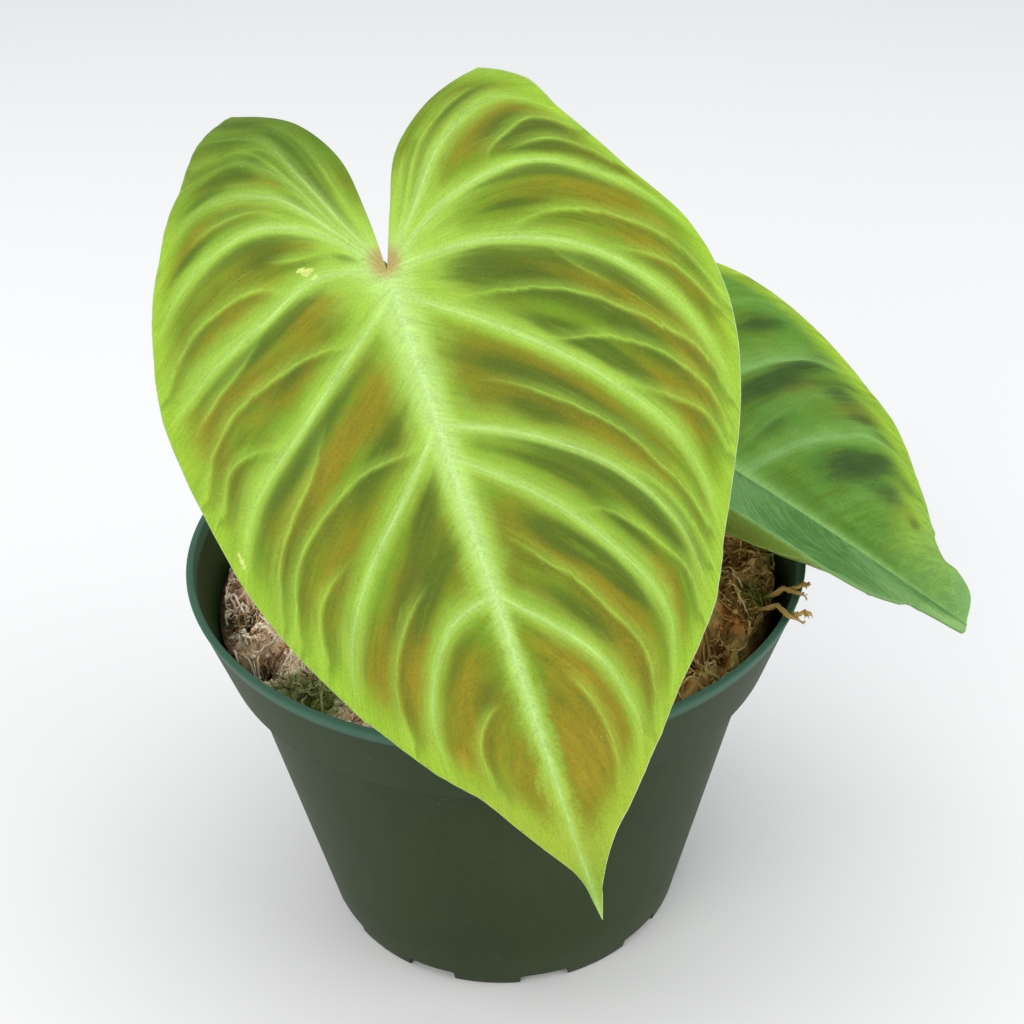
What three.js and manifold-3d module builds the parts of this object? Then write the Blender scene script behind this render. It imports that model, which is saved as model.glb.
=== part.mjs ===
// Potted philodendron verrucosum: a nursery pot of long-fibre moss holding one short stem with two leaves.
// Millimetres, +Z up. The origin is the middle of the pot's underside, and -Y is the front.

import * as THREE from 'three';
import { mergeVertices } from 'three/addons/utils/BufferGeometryUtils.js';
import Module from 'manifold-3d';

const wasm = await Module();
wasm.setup();

// Pot
const POT_HEIGHT = 117;
const RIM_RADIUS = 82.5;
const COLLAR_BOTTOM_RADIUS = 75.4;
const COLLAR_BOTTOM_Z = 92.8;
const BODY_TOP_RADIUS = 71.2;
const BASE_RADIUS = 52;
const WALL = 1.5;
const FLOOR = 1.6;
const RIM_LIP = 2.0;
const RIM_LIP_DEPTH = 3.2;
const EDGE_ROUND = 0.6;
const SLOT_COUNT = 10;
const SLOT_FIRST_DEG = -78;
const SLOT_WIDTH = 14;
const SLOT_HEIGHT = 3.6;
const SLOT_DEPTH = 7;
const POT_SIDES = 60;

// Moss
const MOSS_CLEARANCE = 0.5;
const MOSS_LEVEL = 108;
const MOSS_EDGE_RADIUS = 75.4;
const MOSS_EDGE_Z = 98;
const MOSS_RING_STEP = 5.2;
const MOSS_SIDES = 44;
const MOSS_ROUGHNESS = 1.3;
const STRAND_COUNT = 18;
const STRAND_RADIUS = 0.9;

// Stem
const STEM_FOOT = new THREE.Vector3(0, 6, 62);
const STEM_TOP = new THREE.Vector3(-3, 3, 142);
const STEM_RADIUS = 4.6;
const STEM_HOLE_CLEARANCE = 0.35;

// Leaves: each has the place of its junction with the petiole, then heading, slope and roll of its blade
const BLADE_THICKNESS = 0.7;
const MIDRIB_DEPTH = 2;
const VEIN_DEPTH = 0.7;
const SAG_FULL_Y = -46;
const SAG_END_Y = -88;
const SEAT_GAP = 0.3;
const FRONT_LEAF = {
  junction: new THREE.Vector3(-21, -44, 218.5),
  headingDeg: 28.6,
  slopeDeg: 52.4,
  rollDeg: -23.4,
  scale: 1,
  rise: { right: 0.14, left: 0.14 },
  crown: { right: 0.0032, left: 0.0032 },
  archSlope: 0.08,
  arch: 0.0008,
  lobeDrop: 0.005,
  marginCurl: 0,
  lobeRoll: 3.5,
  sag: 0,
  quilt: 1.6,
  stepsPerVein: [0, 0.14, 0.38, 0.62, 0.86],
  stations: [0, 0.05, 0.13, 0.24, 0.36, 0.48, 0.6, 0.72, 0.83, 0.92, 1],
};
const BACK_LEAF = {
  junction: new THREE.Vector3(38.5, 6, 152),
  headingDeg: 85.4,
  slopeDeg: 33.8,
  rollDeg: -14.4,
  scale: 0.776,
  rise: { right: 0.9, left: 0.39 },
  crown: { right: 0.0079, left: -0.0034 },
  archSlope: 0,
  arch: 0.0003,
  lobeDrop: 0.004,
  marginCurl: 0.0032,
  lobeRoll: 3,
  sag: 10,
  quilt: 1.8,
  stepsPerVein: [0, 0.2, 0.5, 0.8],
  stations: [0, 0.06, 0.18, 0.33, 0.5, 0.66, 0.8, 0.91, 1],
};

// Side veins in the leaf's own frame: the junction is at 0, 0, the midrib runs down -Y, the upper face is +Z.
// root is where a vein leaves the midrib, through are its points at quarter lengths, end is where it meets the
// margin, next is the margin half way to the following vein, and strength is 1 for the thickest veins.
const LEAF_LENGTH = 148;
const vein = (root, through, end, next, strength) => ({ root, through, end, next, strength });
const RIGHT_LOBE_VEINS = [
  vein(0, [[4.7, 12.9], [10, 25.4], [20.8, 34.6]], [33, 38.8], [42, 32.4], 0),
  vein(0, [[9.8, 11.3], [19.9, 23.4], [34, 29.7]], [47, 22], [56, 6], 0.8),
  vein(0, [[16.7, 10.6], [36.2, 13.5], [53, 4]], [66, -11], [68.3, -30], 1),
  vein(0, [[23, -0.6], [43.6, -9.6], [58.2, -27]], [64, -49], [58, -62.5], 1),
];
const RIGHT_SIDE_VEINS = [
  vein(-5, [[18.6, -18.8], [35, -34.3], [48, -53]], [51.5, -75], [48.2, -82.5], 1),
  vein(-35, [[17.5, -43], [32.5, -54.7], [42.3, -71]], [44, -90], [37, -98.5], 0.7),
  vein(-42, [[14.7, -54.5], [26.6, -69.8], [34.2, -87.3]], [30, -106], [25, -112.2], 0.9),
  vein(-73, [[9.6, -82.7], [17.4, -93], [20.7, -105]], [20, -118], [14.5, -124.2], 0.8),
];
const LEFT_LOBE_VEINS = [
  vein(0, [[-0.5, 14], [-2.6, 28.2], [-10.4, 40.2]], [-22.8, 46.6], [-27, 44.6], 0),
  vein(0, [[-6, 12.6], [-11.4, 25], [-18, 37.5]], [-30.9, 41.9], [-34.4, 37.6], 0.8),
  vein(0, [[-7.6, 12.6], [-14.2, 25], [-24, 34]], [-38, 32], [-42, 26.5], 0.8),
  vein(0, [[-9, 12.6], [-18.5, 23], [-32, 26.5]], [-45.5, 20], [-50, 10.5], 0.9),
  vein(0, [[-11.3, 12], [-25, 17.5], [-40.8, 12]], [-53, 1], [-55.3, -8.5], 1),
  vein(0, [[-14.8, 2.8], [-28.8, -2.8], [-42.8, -9.2]], [-56, -18], [-54.6, -33], 1),
];
const LEFT_SIDE_VEINS = [
  vein(-5, [[-14.2, -16], [-28, -27.2], [-42, -38.5]], [-50.6, -54], [-44.8, -70.5], 1),
  vein(-35, [[-11, -47], [-22.4, -59], [-31.5, -72.5]], [-36, -88], [-33.5, -91.5], 0.9),
  vein(-42, [[-9.5, -54.5], [-19.5, -67], [-27, -81]], [-31, -95.5], [-26, -102.7], 0.4),
  vein(-73, [[-10.5, -76.5], [-17.3, -85.3], [-21, -96.5]], [-21, -109], [-16, -114.7], 0.8),
];
const TIP = [0, -LEAF_LENGTH];
const TIP_VEIN = vein(-LEAF_LENGTH, [TIP, TIP, TIP], TIP, TIP, 0);
const SLENDER_TIP = {
  right: [
    vein(-98, [[4, -102], [7.5, -109], [9.5, -119]], [9, -130], [5.2, -135.3], 0.5),
    vein(-122, [[1.2, -125], [2.2, -130], [2.8, -135]], [2.4, -140.5], [1.2, -145], 0.3),
    TIP_VEIN,
  ],
  left: [
    vein(-98, [[-4, -101.5], [-7.5, -107.5], [-9.5, -116]], [-9.5, -125], [-6, -130.5], 0.5),
    vein(-122, [[-1.2, -124.5], [-2.2, -128], [-2.9, -131.5]], [-3, -135], [-0.8, -139.5], 0.3),
    TIP_VEIN,
  ],
};
const BROAD_TIP = {
  right: [
    vein(-98, [[6, -101], [11.5, -107], [14.5, -114]], [16.5, -122], [13.2, -128.5], 0.5),
    vein(-120, [[3.5, -122], [7.5, -126], [10.5, -131]], [12.5, -136], [8.5, -145], 0.3),
    TIP_VEIN,
  ],
  left: [
    vein(-98, [[-4, -101.5], [-8, -107.5], [-11.5, -114]], [-13.5, -121], [-11.5, -128], 0.5),
    vein(-120, [[-3, -122.5], [-6, -127], [-8, -133]], [-9, -138], [-6.5, -145], 0.3),
    TIP_VEIN,
  ],
};
const frontRows = {
  right: [...RIGHT_LOBE_VEINS, ...RIGHT_SIDE_VEINS, ...SLENDER_TIP.right],
  left: [...LEFT_LOBE_VEINS, ...LEFT_SIDE_VEINS, ...SLENDER_TIP.left],
};
const backRows = {
  right: [...RIGHT_LOBE_VEINS, ...RIGHT_SIDE_VEINS, ...BROAD_TIP.right],
  left: [...LEFT_LOBE_VEINS, ...LEFT_SIDE_VEINS, ...BROAD_TIP.left],
};

const rad = THREE.MathUtils.degToRad;
const clamp01 = (value) => Math.min(Math.max(value, 0), 1);

// A repeatable stream of numbers between 0 and 1.
function seededRandom(seed) {
  let state = seed;
  return () => {
    state = (state * 1664525 + 1013904223) % 4294967296;
    return state / 4294967296;
  };
}

// Solids for cutting and joining
function solidOf(geometry) {
  const bare = geometry.clone();
  bare.deleteAttribute('normal');
  bare.deleteAttribute('uv');
  const merged = mergeVertices(bare, 1e-4);
  return new wasm.Manifold(new wasm.Mesh({
    numProp: 3,
    vertProperties: new Float32Array(merged.attributes.position.array),
    triVerts: new Uint32Array(merged.index.array),
  }));
}

function geometryOf(solid) {
  const mesh = solid.getMesh();
  const geometry = new THREE.BufferGeometry();
  geometry.setAttribute('position', new THREE.BufferAttribute(mesh.vertProperties, 3));
  geometry.setIndex(new THREE.BufferAttribute(mesh.triVerts, 1));
  geometry.computeVertexNormals();
  return geometry;
}

// A lathe turned about +Z, from [radius, height] points that start and end on the axis or close on themselves.
function turned(profile, sides) {
  const points = profile.map(([radius, height]) => new THREE.Vector2(radius, height));
  return new THREE.LatheGeometry(points, sides).rotateX(Math.PI / 2);
}

function part(name, geometry, material) {
  const mesh = new THREE.Mesh(geometry, material);
  mesh.name = name;
  return mesh;
}

// Pot
function potOuterRadius(z) {
  if (z >= COLLAR_BOTTOM_Z) {
    const up = (z - COLLAR_BOTTOM_Z) / (POT_HEIGHT - COLLAR_BOTTOM_Z);
    return COLLAR_BOTTOM_RADIUS + up * (RIM_RADIUS - COLLAR_BOTTOM_RADIUS);
  }
  return BASE_RADIUS + (z / COLLAR_BOTTOM_Z) * (BODY_TOP_RADIUS - BASE_RADIUS);
}

function makePot() {
  const shoulderInsideZ = COLLAR_BOTTOM_Z + WALL;
  const lipBottomZ = POT_HEIGHT - RIM_LIP_DEPTH;
  const shell = turned([
    [0, 0],
    [BASE_RADIUS - 1, 0],
    [BASE_RADIUS, 1],
    [BODY_TOP_RADIUS, COLLAR_BOTTOM_Z - 1],
    [BODY_TOP_RADIUS + 1, COLLAR_BOTTOM_Z],
    [COLLAR_BOTTOM_RADIUS - EDGE_ROUND, COLLAR_BOTTOM_Z],
    [COLLAR_BOTTOM_RADIUS, COLLAR_BOTTOM_Z + EDGE_ROUND],
    [RIM_RADIUS, POT_HEIGHT - EDGE_ROUND],
    [RIM_RADIUS - EDGE_ROUND, POT_HEIGHT],
    [RIM_RADIUS - RIM_LIP + EDGE_ROUND, POT_HEIGHT],
    [RIM_RADIUS - RIM_LIP, POT_HEIGHT - EDGE_ROUND],
    [potOuterRadius(lipBottomZ) - WALL, lipBottomZ],
    [potOuterRadius(shoulderInsideZ) - WALL, shoulderInsideZ],
    [BODY_TOP_RADIUS - WALL, shoulderInsideZ - 1],
    [BASE_RADIUS - WALL + 0.4, FLOOR + 2],
    [BASE_RADIUS - WALL - 2, FLOOR],
    [0, FLOOR],
  ], POT_SIDES);
  let pot = solidOf(shell);
  for (let i = 0; i < SLOT_COUNT; i += 1) {
    const angle = rad(SLOT_FIRST_DEG + (i * 360) / SLOT_COUNT);
    const slot = new THREE.BoxGeometry(2 * SLOT_DEPTH, SLOT_WIDTH, 2 * SLOT_HEIGHT);
    slot.translate(BASE_RADIUS, 0, 0).rotateZ(angle);
    pot = pot.subtract(solidOf(slot));
  }
  return geometryOf(pot);
}

// Moss
function mossHeight(x, y) {
  const slope = 0.03 * x;
  const heap = 6.5 * Math.exp(-((x - 62) ** 2 + (y + 27) ** 2) / 420);
  const mounds = 1.7 * Math.sin(0.17 * x + 1) * Math.cos(0.15 * y + 0.4) + 1.1 * Math.sin(0.31 * x - 0.27 * y + 2);
  const tufts = 0.8 * Math.sin(0.62 * x + 0.5 * y) * Math.sin(0.55 * y - 0.4 * x + 1);
  return MOSS_LEVEL + slope + heap + mounds + tufts;
}

function mossEdgeWander(angle) {
  return 1.0 * Math.sin(3 * angle + 0.6) + 0.6 * Math.sin(7 * angle + 2) + 0.4 * Math.sin(13 * angle) - 1.3;
}

function strandAlong(points) {
  const section = new THREE.Shape();
  section.absarc(0, 0, STRAND_RADIUS, 0, 2 * Math.PI);
  const path = new THREE.CatmullRomCurve3(points);
  return new THREE.ExtrudeGeometry(section, {
    steps: 2 * (points.length - 1),
    curveSegments: 2,
    bevelEnabled: false,
    extrudePath: path,
  });
}

// A strand lies half sunk in the moss, with both ends buried.
function makeStrand(random) {
  const angle = 2 * Math.PI * random();
  const reach = 12 + 50 * Math.sqrt(random());
  const direction = 2 * Math.PI * random();
  const length = 12 + 12 * random();
  const bend = 1.6 * (random() - 0.5);
  const buried = [-2.4, 0.35, 0.5, 0.3, -2.4];
  const points = buried.map((lift, i) => {
    const along = (i / (buried.length - 1) - 0.5) * length;
    const turn = direction + bend * (i / (buried.length - 1) - 0.5);
    const x = reach * Math.cos(angle) + along * Math.cos(turn);
    const y = reach * Math.sin(angle) + along * Math.sin(turn);
    return new THREE.Vector3(x, y, mossHeight(x, y) + lift);
  });
  return strandAlong(points);
}

// Two dry strands hook over the rim at the right, clear of it.
function makeHooks() {
  const overRim = POT_HEIGHT + STRAND_RADIUS + 0.6;
  const hook = (angleDeg, reach, drop) => {
    const c = Math.cos(rad(angleDeg));
    const s = Math.sin(rad(angleDeg));
    const along = [[66, 110.5], [72, 115.5], [77, overRim + 0.5], [82, overRim + 0.7], [reach, overRim - drop]];
    return strandAlong(along.map(([radius, z]) => new THREE.Vector3(radius * c, radius * s, z)));
  };
  return [hook(-14, 86, 0.6), hook(-25, 86.5, 1.2)];
}

// The top of the moss wanders in from the wall, and each point of it is lifted to the heaped, crumbly surface.
function roughened(geometry) {
  const position = geometry.attributes.position;
  for (let i = 0; i < position.count; i += 1) {
    const [x0, y0, z0] = [position.getX(i), position.getY(i), position.getZ(i)];
    if (z0 > MOSS_EDGE_Z + 1) {
      const outward = Math.hypot(x0, y0) / MOSS_EDGE_RADIUS;
      const pull = 1 + (mossEdgeWander(Math.atan2(y0, x0)) * outward) / MOSS_EDGE_RADIUS;
      const x = x0 * pull;
      const y = y0 * pull;
      const crumb = MOSS_ROUGHNESS * Math.sin(12.9 * Math.round(4 * x0) + 7.2 * Math.round(4 * y0));
      position.setXYZ(i, x, y, z0 < MOSS_LEVEL ? z0 : mossHeight(x, y) + crumb);
    }
  }
  return geometry;
}

function makeMoss() {
  const wallGap = WALL + MOSS_CLEARANCE;
  const footZ = FLOOR + MOSS_CLEARANCE;
  const profile = [
    [0, footZ],
    [BASE_RADIUS - wallGap - 2.4, footZ],
    [BASE_RADIUS - wallGap + 0.4, footZ + 2.8],
    [BODY_TOP_RADIUS - wallGap, COLLAR_BOTTOM_Z + WALL + 0.7],
    [MOSS_EDGE_RADIUS - 1, MOSS_EDGE_Z],
    [MOSS_EDGE_RADIUS, MOSS_EDGE_Z + 4],
  ];
  for (let radius = MOSS_EDGE_RADIUS - 2.5; radius > MOSS_RING_STEP; radius -= MOSS_RING_STEP) {
    profile.push([radius, MOSS_LEVEL]);
  }
  profile.push([0, MOSS_LEVEL]);
  const geometry = roughened(turned(profile, MOSS_SIDES));
  const random = seededRandom(11);
  const strands = Array.from({ length: STRAND_COUNT }, () => makeStrand(random));
  let moss = solidOf(geometry);
  [...strands, ...makeHooks()].forEach((strand) => {
    moss = moss.add(solidOf(strand));
  });
  const holeRadius = STEM_RADIUS + STEM_HOLE_CLEARANCE;
  const hole = new THREE.CylinderGeometry(holeRadius, holeRadius, 2 * POT_HEIGHT, 20);
  hole.rotateX(Math.PI / 2).translate(STEM_FOOT.x, STEM_FOOT.y, STEM_FOOT.z - STEM_HOLE_CLEARANCE + POT_HEIGHT);
  return geometryOf(moss.subtract(solidOf(hole)));
}

// A round body of changing thickness: a turned profile [radius, 0 to 1 along the path], bent along the path.
function bent(profile, path, sides) {
  const frames = path.computeFrenetFrames(200, false);
  const geometry = turned(profile, sides);
  const position = geometry.attributes.position;
  for (let i = 0; i < position.count; i += 1) {
    const along = clamp01(position.getZ(i));
    const k = Math.round(along * 200);
    const point = path.getPointAt(along);
    point.addScaledVector(frames.normals[k], position.getX(i));
    point.addScaledVector(frames.binormals[k], position.getY(i));
    position.setXYZ(i, point.x, point.y, point.z);
  }
  return geometry;
}

// Stem: buried foot, two leaf scars as rings, and the rolled sheath of the next leaf at the top
const stemPath = new THREE.CatmullRomCurve3([
  STEM_FOOT,
  new THREE.Vector3(0, 6, 85),
  new THREE.Vector3(0, 6, 106),
  new THREE.Vector3(-0.5, 5.4, 122),
  STEM_TOP,
]);

function makeStem() {
  const rings = [
    [0, 0], [3.6, 0], [4.2, 0.02], [4.3, 0.3], [4.3, 0.55], [4.5, 0.6], [4.1, 0.63], [4.1, 0.68],
    [4.4, 0.71], [3.9, 0.74], [3.6, 0.8], [2.9, 0.87], [1.9, 0.94], [0.8, 0.985], [0, 1],
  ];
  return bent(rings, stemPath, 14);
}

// Leaf blades
function bladeRotation(leaf) {
  return new THREE.Euler(rad(leaf.slopeDeg), rad(leaf.rollDeg), rad(leaf.headingDeg), 'ZXY');
}

function spline(points) {
  return new THREE.SplineCurve(points.map(([x, y]) => new THREE.Vector2(x, y)));
}

// One half of a blade: a point for each vein number (in between too) and share of the way to the margin.
function halfBlade(rows) {
  const last = rows.length - 1;
  const veins = rows.map((row) => spline([[0, row.root], ...row.through, row.end]));
  const margin = spline(rows.flatMap((row, i) => (i < last ? [row.end, row.next] : [row.end])));
  return (number, share) => {
    const k = Math.min(Math.floor(number), last - 1);
    const between = number - k;
    const before = veins[k].getPoint(share);
    const after = veins[k + 1].getPoint(share);
    const straight = veins[k].getPoint(1).lerp(veins[k + 1].getPoint(1), between);
    const correction = margin.getPoint(number / last).sub(straight).multiplyScalar(share ** 3);
    return {
      flat: before.clone().lerp(after, between).add(correction),
      spacing: before.distanceTo(after),
      between,
      strength: between === 0 ? rows[k].strength : 0,
      towardsSinus: Math.max(1 - number, 0),
    };
  };
}

// The blade's form without veins: halves rising from the midrib, crowned, arched along it and with lobes set back.
function bladeForm(leaf, x, y) {
  const side = x > 0 ? 'right' : 'left';
  const away = Math.sqrt(x * x + 9) - 3;
  const curl = x < -25 ? leaf.marginCurl * (-x - 25) ** 2 * clamp01((y + 110) / 60) : 0;
  return leaf.rise[side] * away - leaf.crown[side] * x * x - leaf.arch * y * y - leaf.archSlope * y
    - leaf.lobeDrop * Math.max(y, 0) ** 2 + curl;
}

// Quilting: the blade swells between its side veins and is thicker under them and under the midrib.
// The strip along the sinus rolls back, and a sagging left half hangs below its upturned margin.
function bladeTop(leaf, sample, share) {
  const { flat, spacing, between, towardsSinus } = sample;
  const swell = Math.min(leaf.quilt, 0.11 * spacing) * Math.sin(Math.PI * between) ** 0.7;
  const roll = leaf.lobeRoll * towardsSinus ** 2 * share;
  const hang = flat.x < 0 ? leaf.sag * THREE.MathUtils.smoothstep(flat.y, SAG_END_Y, SAG_FULL_Y) : 0;
  return bladeForm(leaf, flat.x, flat.y) + swell * clamp01(share / 0.15) * (1 - 0.35 * share) - roll
    - hang * Math.sin(Math.PI * share ** 1.3);
}

function ribDepth(sample, share) {
  if (share === 0) {
    return MIDRIB_DEPTH * clamp01(1 + sample.flat.y / LEAF_LENGTH);
  }
  return VEIN_DEPTH * sample.strength * (1 - 0.7 * share) * clamp01(share / 0.15);
}

function makeBlade(leaf, rows) {
  const tops = [];
  const depths = [];
  const keys = new Map();
  const corner = (half, number, share) => {
    const sample = half(number, share);
    const key = `${sample.flat.x.toFixed(3)},${sample.flat.y.toFixed(3)}`;
    if (!keys.has(key)) {
      keys.set(key, tops.length);
      tops.push([sample.flat.x, sample.flat.y, bladeTop(leaf, sample, share)]);
      depths.push(BLADE_THICKNESS / leaf.scale + ribDepth(sample, share));
    }
    return keys.get(key);
  };
  const faces = [];
  ['right', 'left'].forEach((side) => {
    const half = halfBlade(rows[side]);
    const numbers = [];
    for (let k = 0; k < rows[side].length - 1; k += 1) {
      leaf.stepsPerVein.forEach((step) => numbers.push(k + step));
    }
    numbers.push(rows[side].length - 1);
    for (let i = 0; i < numbers.length - 1; i += 1) {
      for (let j = 0; j < leaf.stations.length - 1; j += 1) {
        const a = corner(half, numbers[i], leaf.stations[j]);
        const b = corner(half, numbers[i + 1], leaf.stations[j]);
        const c = corner(half, numbers[i + 1], leaf.stations[j + 1]);
        const d = corner(half, numbers[i], leaf.stations[j + 1]);
        const pair = side === 'right' ? [[a, b, d], [b, c, d]] : [[a, d, b], [b, d, c]];
        faces.push(...pair.filter(([p, q, r]) => p !== q && q !== r && r !== p));
      }
    }
  });
  return platedGeometry(tops, depths, faces);
}

// A closed plate: the lower face repeats the upper one at its own depth, and a wall runs along the open edges.
function platedGeometry(tops, depths, faces) {
  const upper = new THREE.BufferGeometry();
  upper.setAttribute('position', new THREE.Float32BufferAttribute(tops.flat(), 3));
  upper.setIndex(faces.flat());
  upper.computeVertexNormals();
  const normal = upper.attributes.normal;
  const bottoms = tops.map(([x, y, z], i) => [
    x - depths[i] * normal.getX(i),
    y - depths[i] * normal.getY(i),
    z - depths[i] * normal.getZ(i),
  ]);
  const under = tops.length;
  const index = [];
  const edges = new Set();
  faces.forEach(([a, b, c]) => {
    index.push(a, b, c, under + a, under + c, under + b);
    [[a, b], [b, c], [c, a]].forEach(([p, q]) => edges.add(`${p} ${q}`));
  });
  edges.forEach((edge) => {
    const [p, q] = edge.split(' ').map(Number);
    if (!edges.has(`${q} ${p}`)) {
      index.push(q, p, under + p, q, under + p, under + q);
    }
  });
  const geometry = new THREE.BufferGeometry();
  geometry.setAttribute('position', new THREE.Float32BufferAttribute([...tops, ...bottoms].flat(), 3));
  geometry.setIndex(index);
  geometry.computeVertexNormals();
  return geometry;
}

// Petioles: swollen at the foot, which starts level from the stem's side, and at the bend under the blade
function petioleFoot(angleDeg, z, stemRadiusThere) {
  const axis = stemPath.getSpacedPoints(200).find((point) => point.z >= z);
  const start = stemRadiusThere + SEAT_GAP;
  const fromStem = [[start, 0], [start + 2.8, 0.1], [start + 6.2, 2.6], [start + 8.4, 8]];
  const c = Math.cos(rad(angleDeg));
  const s = Math.sin(rad(angleDeg));
  return fromStem.map(([out, up]) => new THREE.Vector3(axis.x + out * c, axis.y + out * s, z + up));
}

function petioleEnd(leaf, below) {
  const reach = new THREE.Vector3(0, -2.2, -below).multiplyScalar(leaf.scale);
  return reach.applyEuler(bladeRotation(leaf)).add(leaf.junction);
}

function makePetiole(leaf, points, radius) {
  const underBlade = BLADE_THICKNESS / leaf.scale + MIDRIB_DEPTH + 0.3 + SEAT_GAP;
  const path = new THREE.CatmullRomCurve3([
    ...points,
    petioleEnd(leaf, underBlade + 9),
    petioleEnd(leaf, underBlade),
  ]);
  const profile = [
    [0, 0], [radius * 1.15, 0], [radius * 1.25, 0.02], [radius * 1.1, 0.09], [radius, 0.2], [radius * 0.95, 0.32],
    [radius * 0.92, 0.44], [radius * 0.9, 0.55], [radius * 0.88, 0.65], [radius * 0.87, 0.74], [radius * 0.9, 0.82],
    [radius * 1.05, 0.88], [radius * 1.1, 0.92], [radius, 0.96], [radius * 0.85, 1], [0, 1],
  ];
  return bent(profile, path, 12);
}

function placedBlade(name, leaf, rows, material) {
  const blade = part(name, makeBlade(leaf, rows), material);
  blade.position.copy(leaf.junction);
  blade.rotation.copy(bladeRotation(leaf));
  blade.scale.setScalar(leaf.scale);
  return blade;
}

const frontPetiolePoints = [
  ...petioleFoot(-118, 126, 3.8),
  new THREE.Vector3(-10, -9, 150),
  new THREE.Vector3(-16, -13, 176),
  new THREE.Vector3(-20, -20, 198),
];
const backPetiolePoints = [
  ...petioleFoot(8, 117, 4.4),
  new THREE.Vector3(24, 10, 133),
];

const finish = (color, roughness) => new THREE.MeshStandardMaterial({ color, roughness, metalness: 0 });
const plant = new THREE.Group();
plant.add(part('pot', makePot(), finish(0x3b4f3c, 0.5)));
plant.add(part('sphagnum_moss', makeMoss(), finish(0x9a7a5a, 0.95)));
plant.add(part('stem', makeStem(), finish(0x6d7a3c, 0.6)));
plant.add(part('petiole_front', makePetiole(FRONT_LEAF, frontPetiolePoints, 2.3), finish(0x9a5a3c, 0.7)));
plant.add(part('petiole_back', makePetiole(BACK_LEAF, backPetiolePoints, 2.1), finish(0x8f6a3e, 0.7)));
plant.add(placedBlade('leaf_front', FRONT_LEAF, frontRows, finish(0x7f9a2c, 0.65)));
plant.add(placedBlade('leaf_back', BACK_LEAF, backRows, finish(0x5f8f33, 0.65)));
export default plant;
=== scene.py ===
"""Looks of a potted philodendron verrucosum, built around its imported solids. Metres, +Z up, -Y is the front."""

import logging
import math
import random
from collections.abc import Callable
from dataclasses import dataclass, replace
from enum import Enum
from functools import reduce
from typing import TypeVar

import bmesh
import bpy
import numpy as np
from mathutils import Matrix, Vector, noise

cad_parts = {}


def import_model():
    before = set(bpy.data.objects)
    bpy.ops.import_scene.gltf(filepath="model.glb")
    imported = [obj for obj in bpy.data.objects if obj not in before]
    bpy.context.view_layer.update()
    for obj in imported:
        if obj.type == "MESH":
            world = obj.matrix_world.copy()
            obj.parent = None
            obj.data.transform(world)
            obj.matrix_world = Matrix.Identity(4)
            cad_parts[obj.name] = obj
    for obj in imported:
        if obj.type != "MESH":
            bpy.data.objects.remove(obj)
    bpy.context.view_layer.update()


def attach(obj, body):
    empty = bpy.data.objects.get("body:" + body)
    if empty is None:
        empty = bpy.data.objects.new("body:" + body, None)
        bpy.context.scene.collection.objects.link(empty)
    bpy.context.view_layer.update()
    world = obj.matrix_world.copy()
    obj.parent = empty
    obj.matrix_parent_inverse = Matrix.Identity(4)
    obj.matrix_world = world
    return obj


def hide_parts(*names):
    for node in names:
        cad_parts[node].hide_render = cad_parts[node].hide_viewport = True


MM = 0.001
ROOT = "root"
SAME_PLACE = 1e-6
CREASE_ANGLE = math.radians(32)

log = logging.getLogger("potted_philodendron")

Colour = tuple[float, float, float]
Point2 = tuple[float, float]
Point3 = tuple[float, float, float]
Half = TypeVar("Half")


# Shader helpers


def math_node(operation: str, swapped: bool = False) -> "Callable[..., Wire]":
    """Makes a method of Wire that adds one Math node.

    Args:
        operation: The Math node's operation.
        swapped: True where the other value comes first.

    Returns:
        The method, which takes the other value, if there is one, and returns the result as a new wire.
    """
    def method(wire: "Wire", *others: "Wire | float") -> "Wire":
        """Returns the node's result."""
        values = (*others, wire) if swapped else (wire, *others)
        return wire.shader.take("ShaderNodeMath", {"operation": operation}, dict(enumerate(values)))

    return method


class Wire:
    """A shader output that takes part in Python sums.

    size drops its sign, fraction keeps the part after the point, least and most pick one of two values, and under
    gives 1 below a limit, else 0.
    """

    __add__ = __radd__ = math_node("ADD")
    __sub__, __rsub__ = math_node("SUBTRACT"), math_node("SUBTRACT", swapped=True)
    __mul__ = __rmul__ = math_node("MULTIPLY")
    __truediv__ = math_node("DIVIDE")
    size, fraction = math_node("ABSOLUTE"), math_node("FRACT")
    least, most, under = math_node("MINIMUM"), math_node("MAXIMUM"), math_node("LESS_THAN")

    def __init__(self, shader: "Shader", socket: bpy.types.NodeSocket) -> None:
        """Wraps one output socket of a shader."""
        self.shader = shader
        self.socket = socket

    def step(self, low: "Wire | float", high: "Wire | float") -> "Wire":
        """Returns 0 below low, 1 above high, and a smooth rise between them."""
        settings = {"interpolation_type": "SMOOTHSTEP"}
        return self.shader.take("ShaderNodeMapRange", settings, {0: self, 1: low, 2: high, 3: 0.0, 4: 1.0})

    def fall(self, low: "Wire | float", high: "Wire | float") -> "Wire":
        """Returns 1 below low, 0 above high, and a smooth fall between them."""
        return 1.0 - self.step(low, high)

    def off(self, amount: float) -> "Wire":
        """Returns how far noise is from its middle, times an amount."""
        return (self - 0.5) * amount


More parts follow.
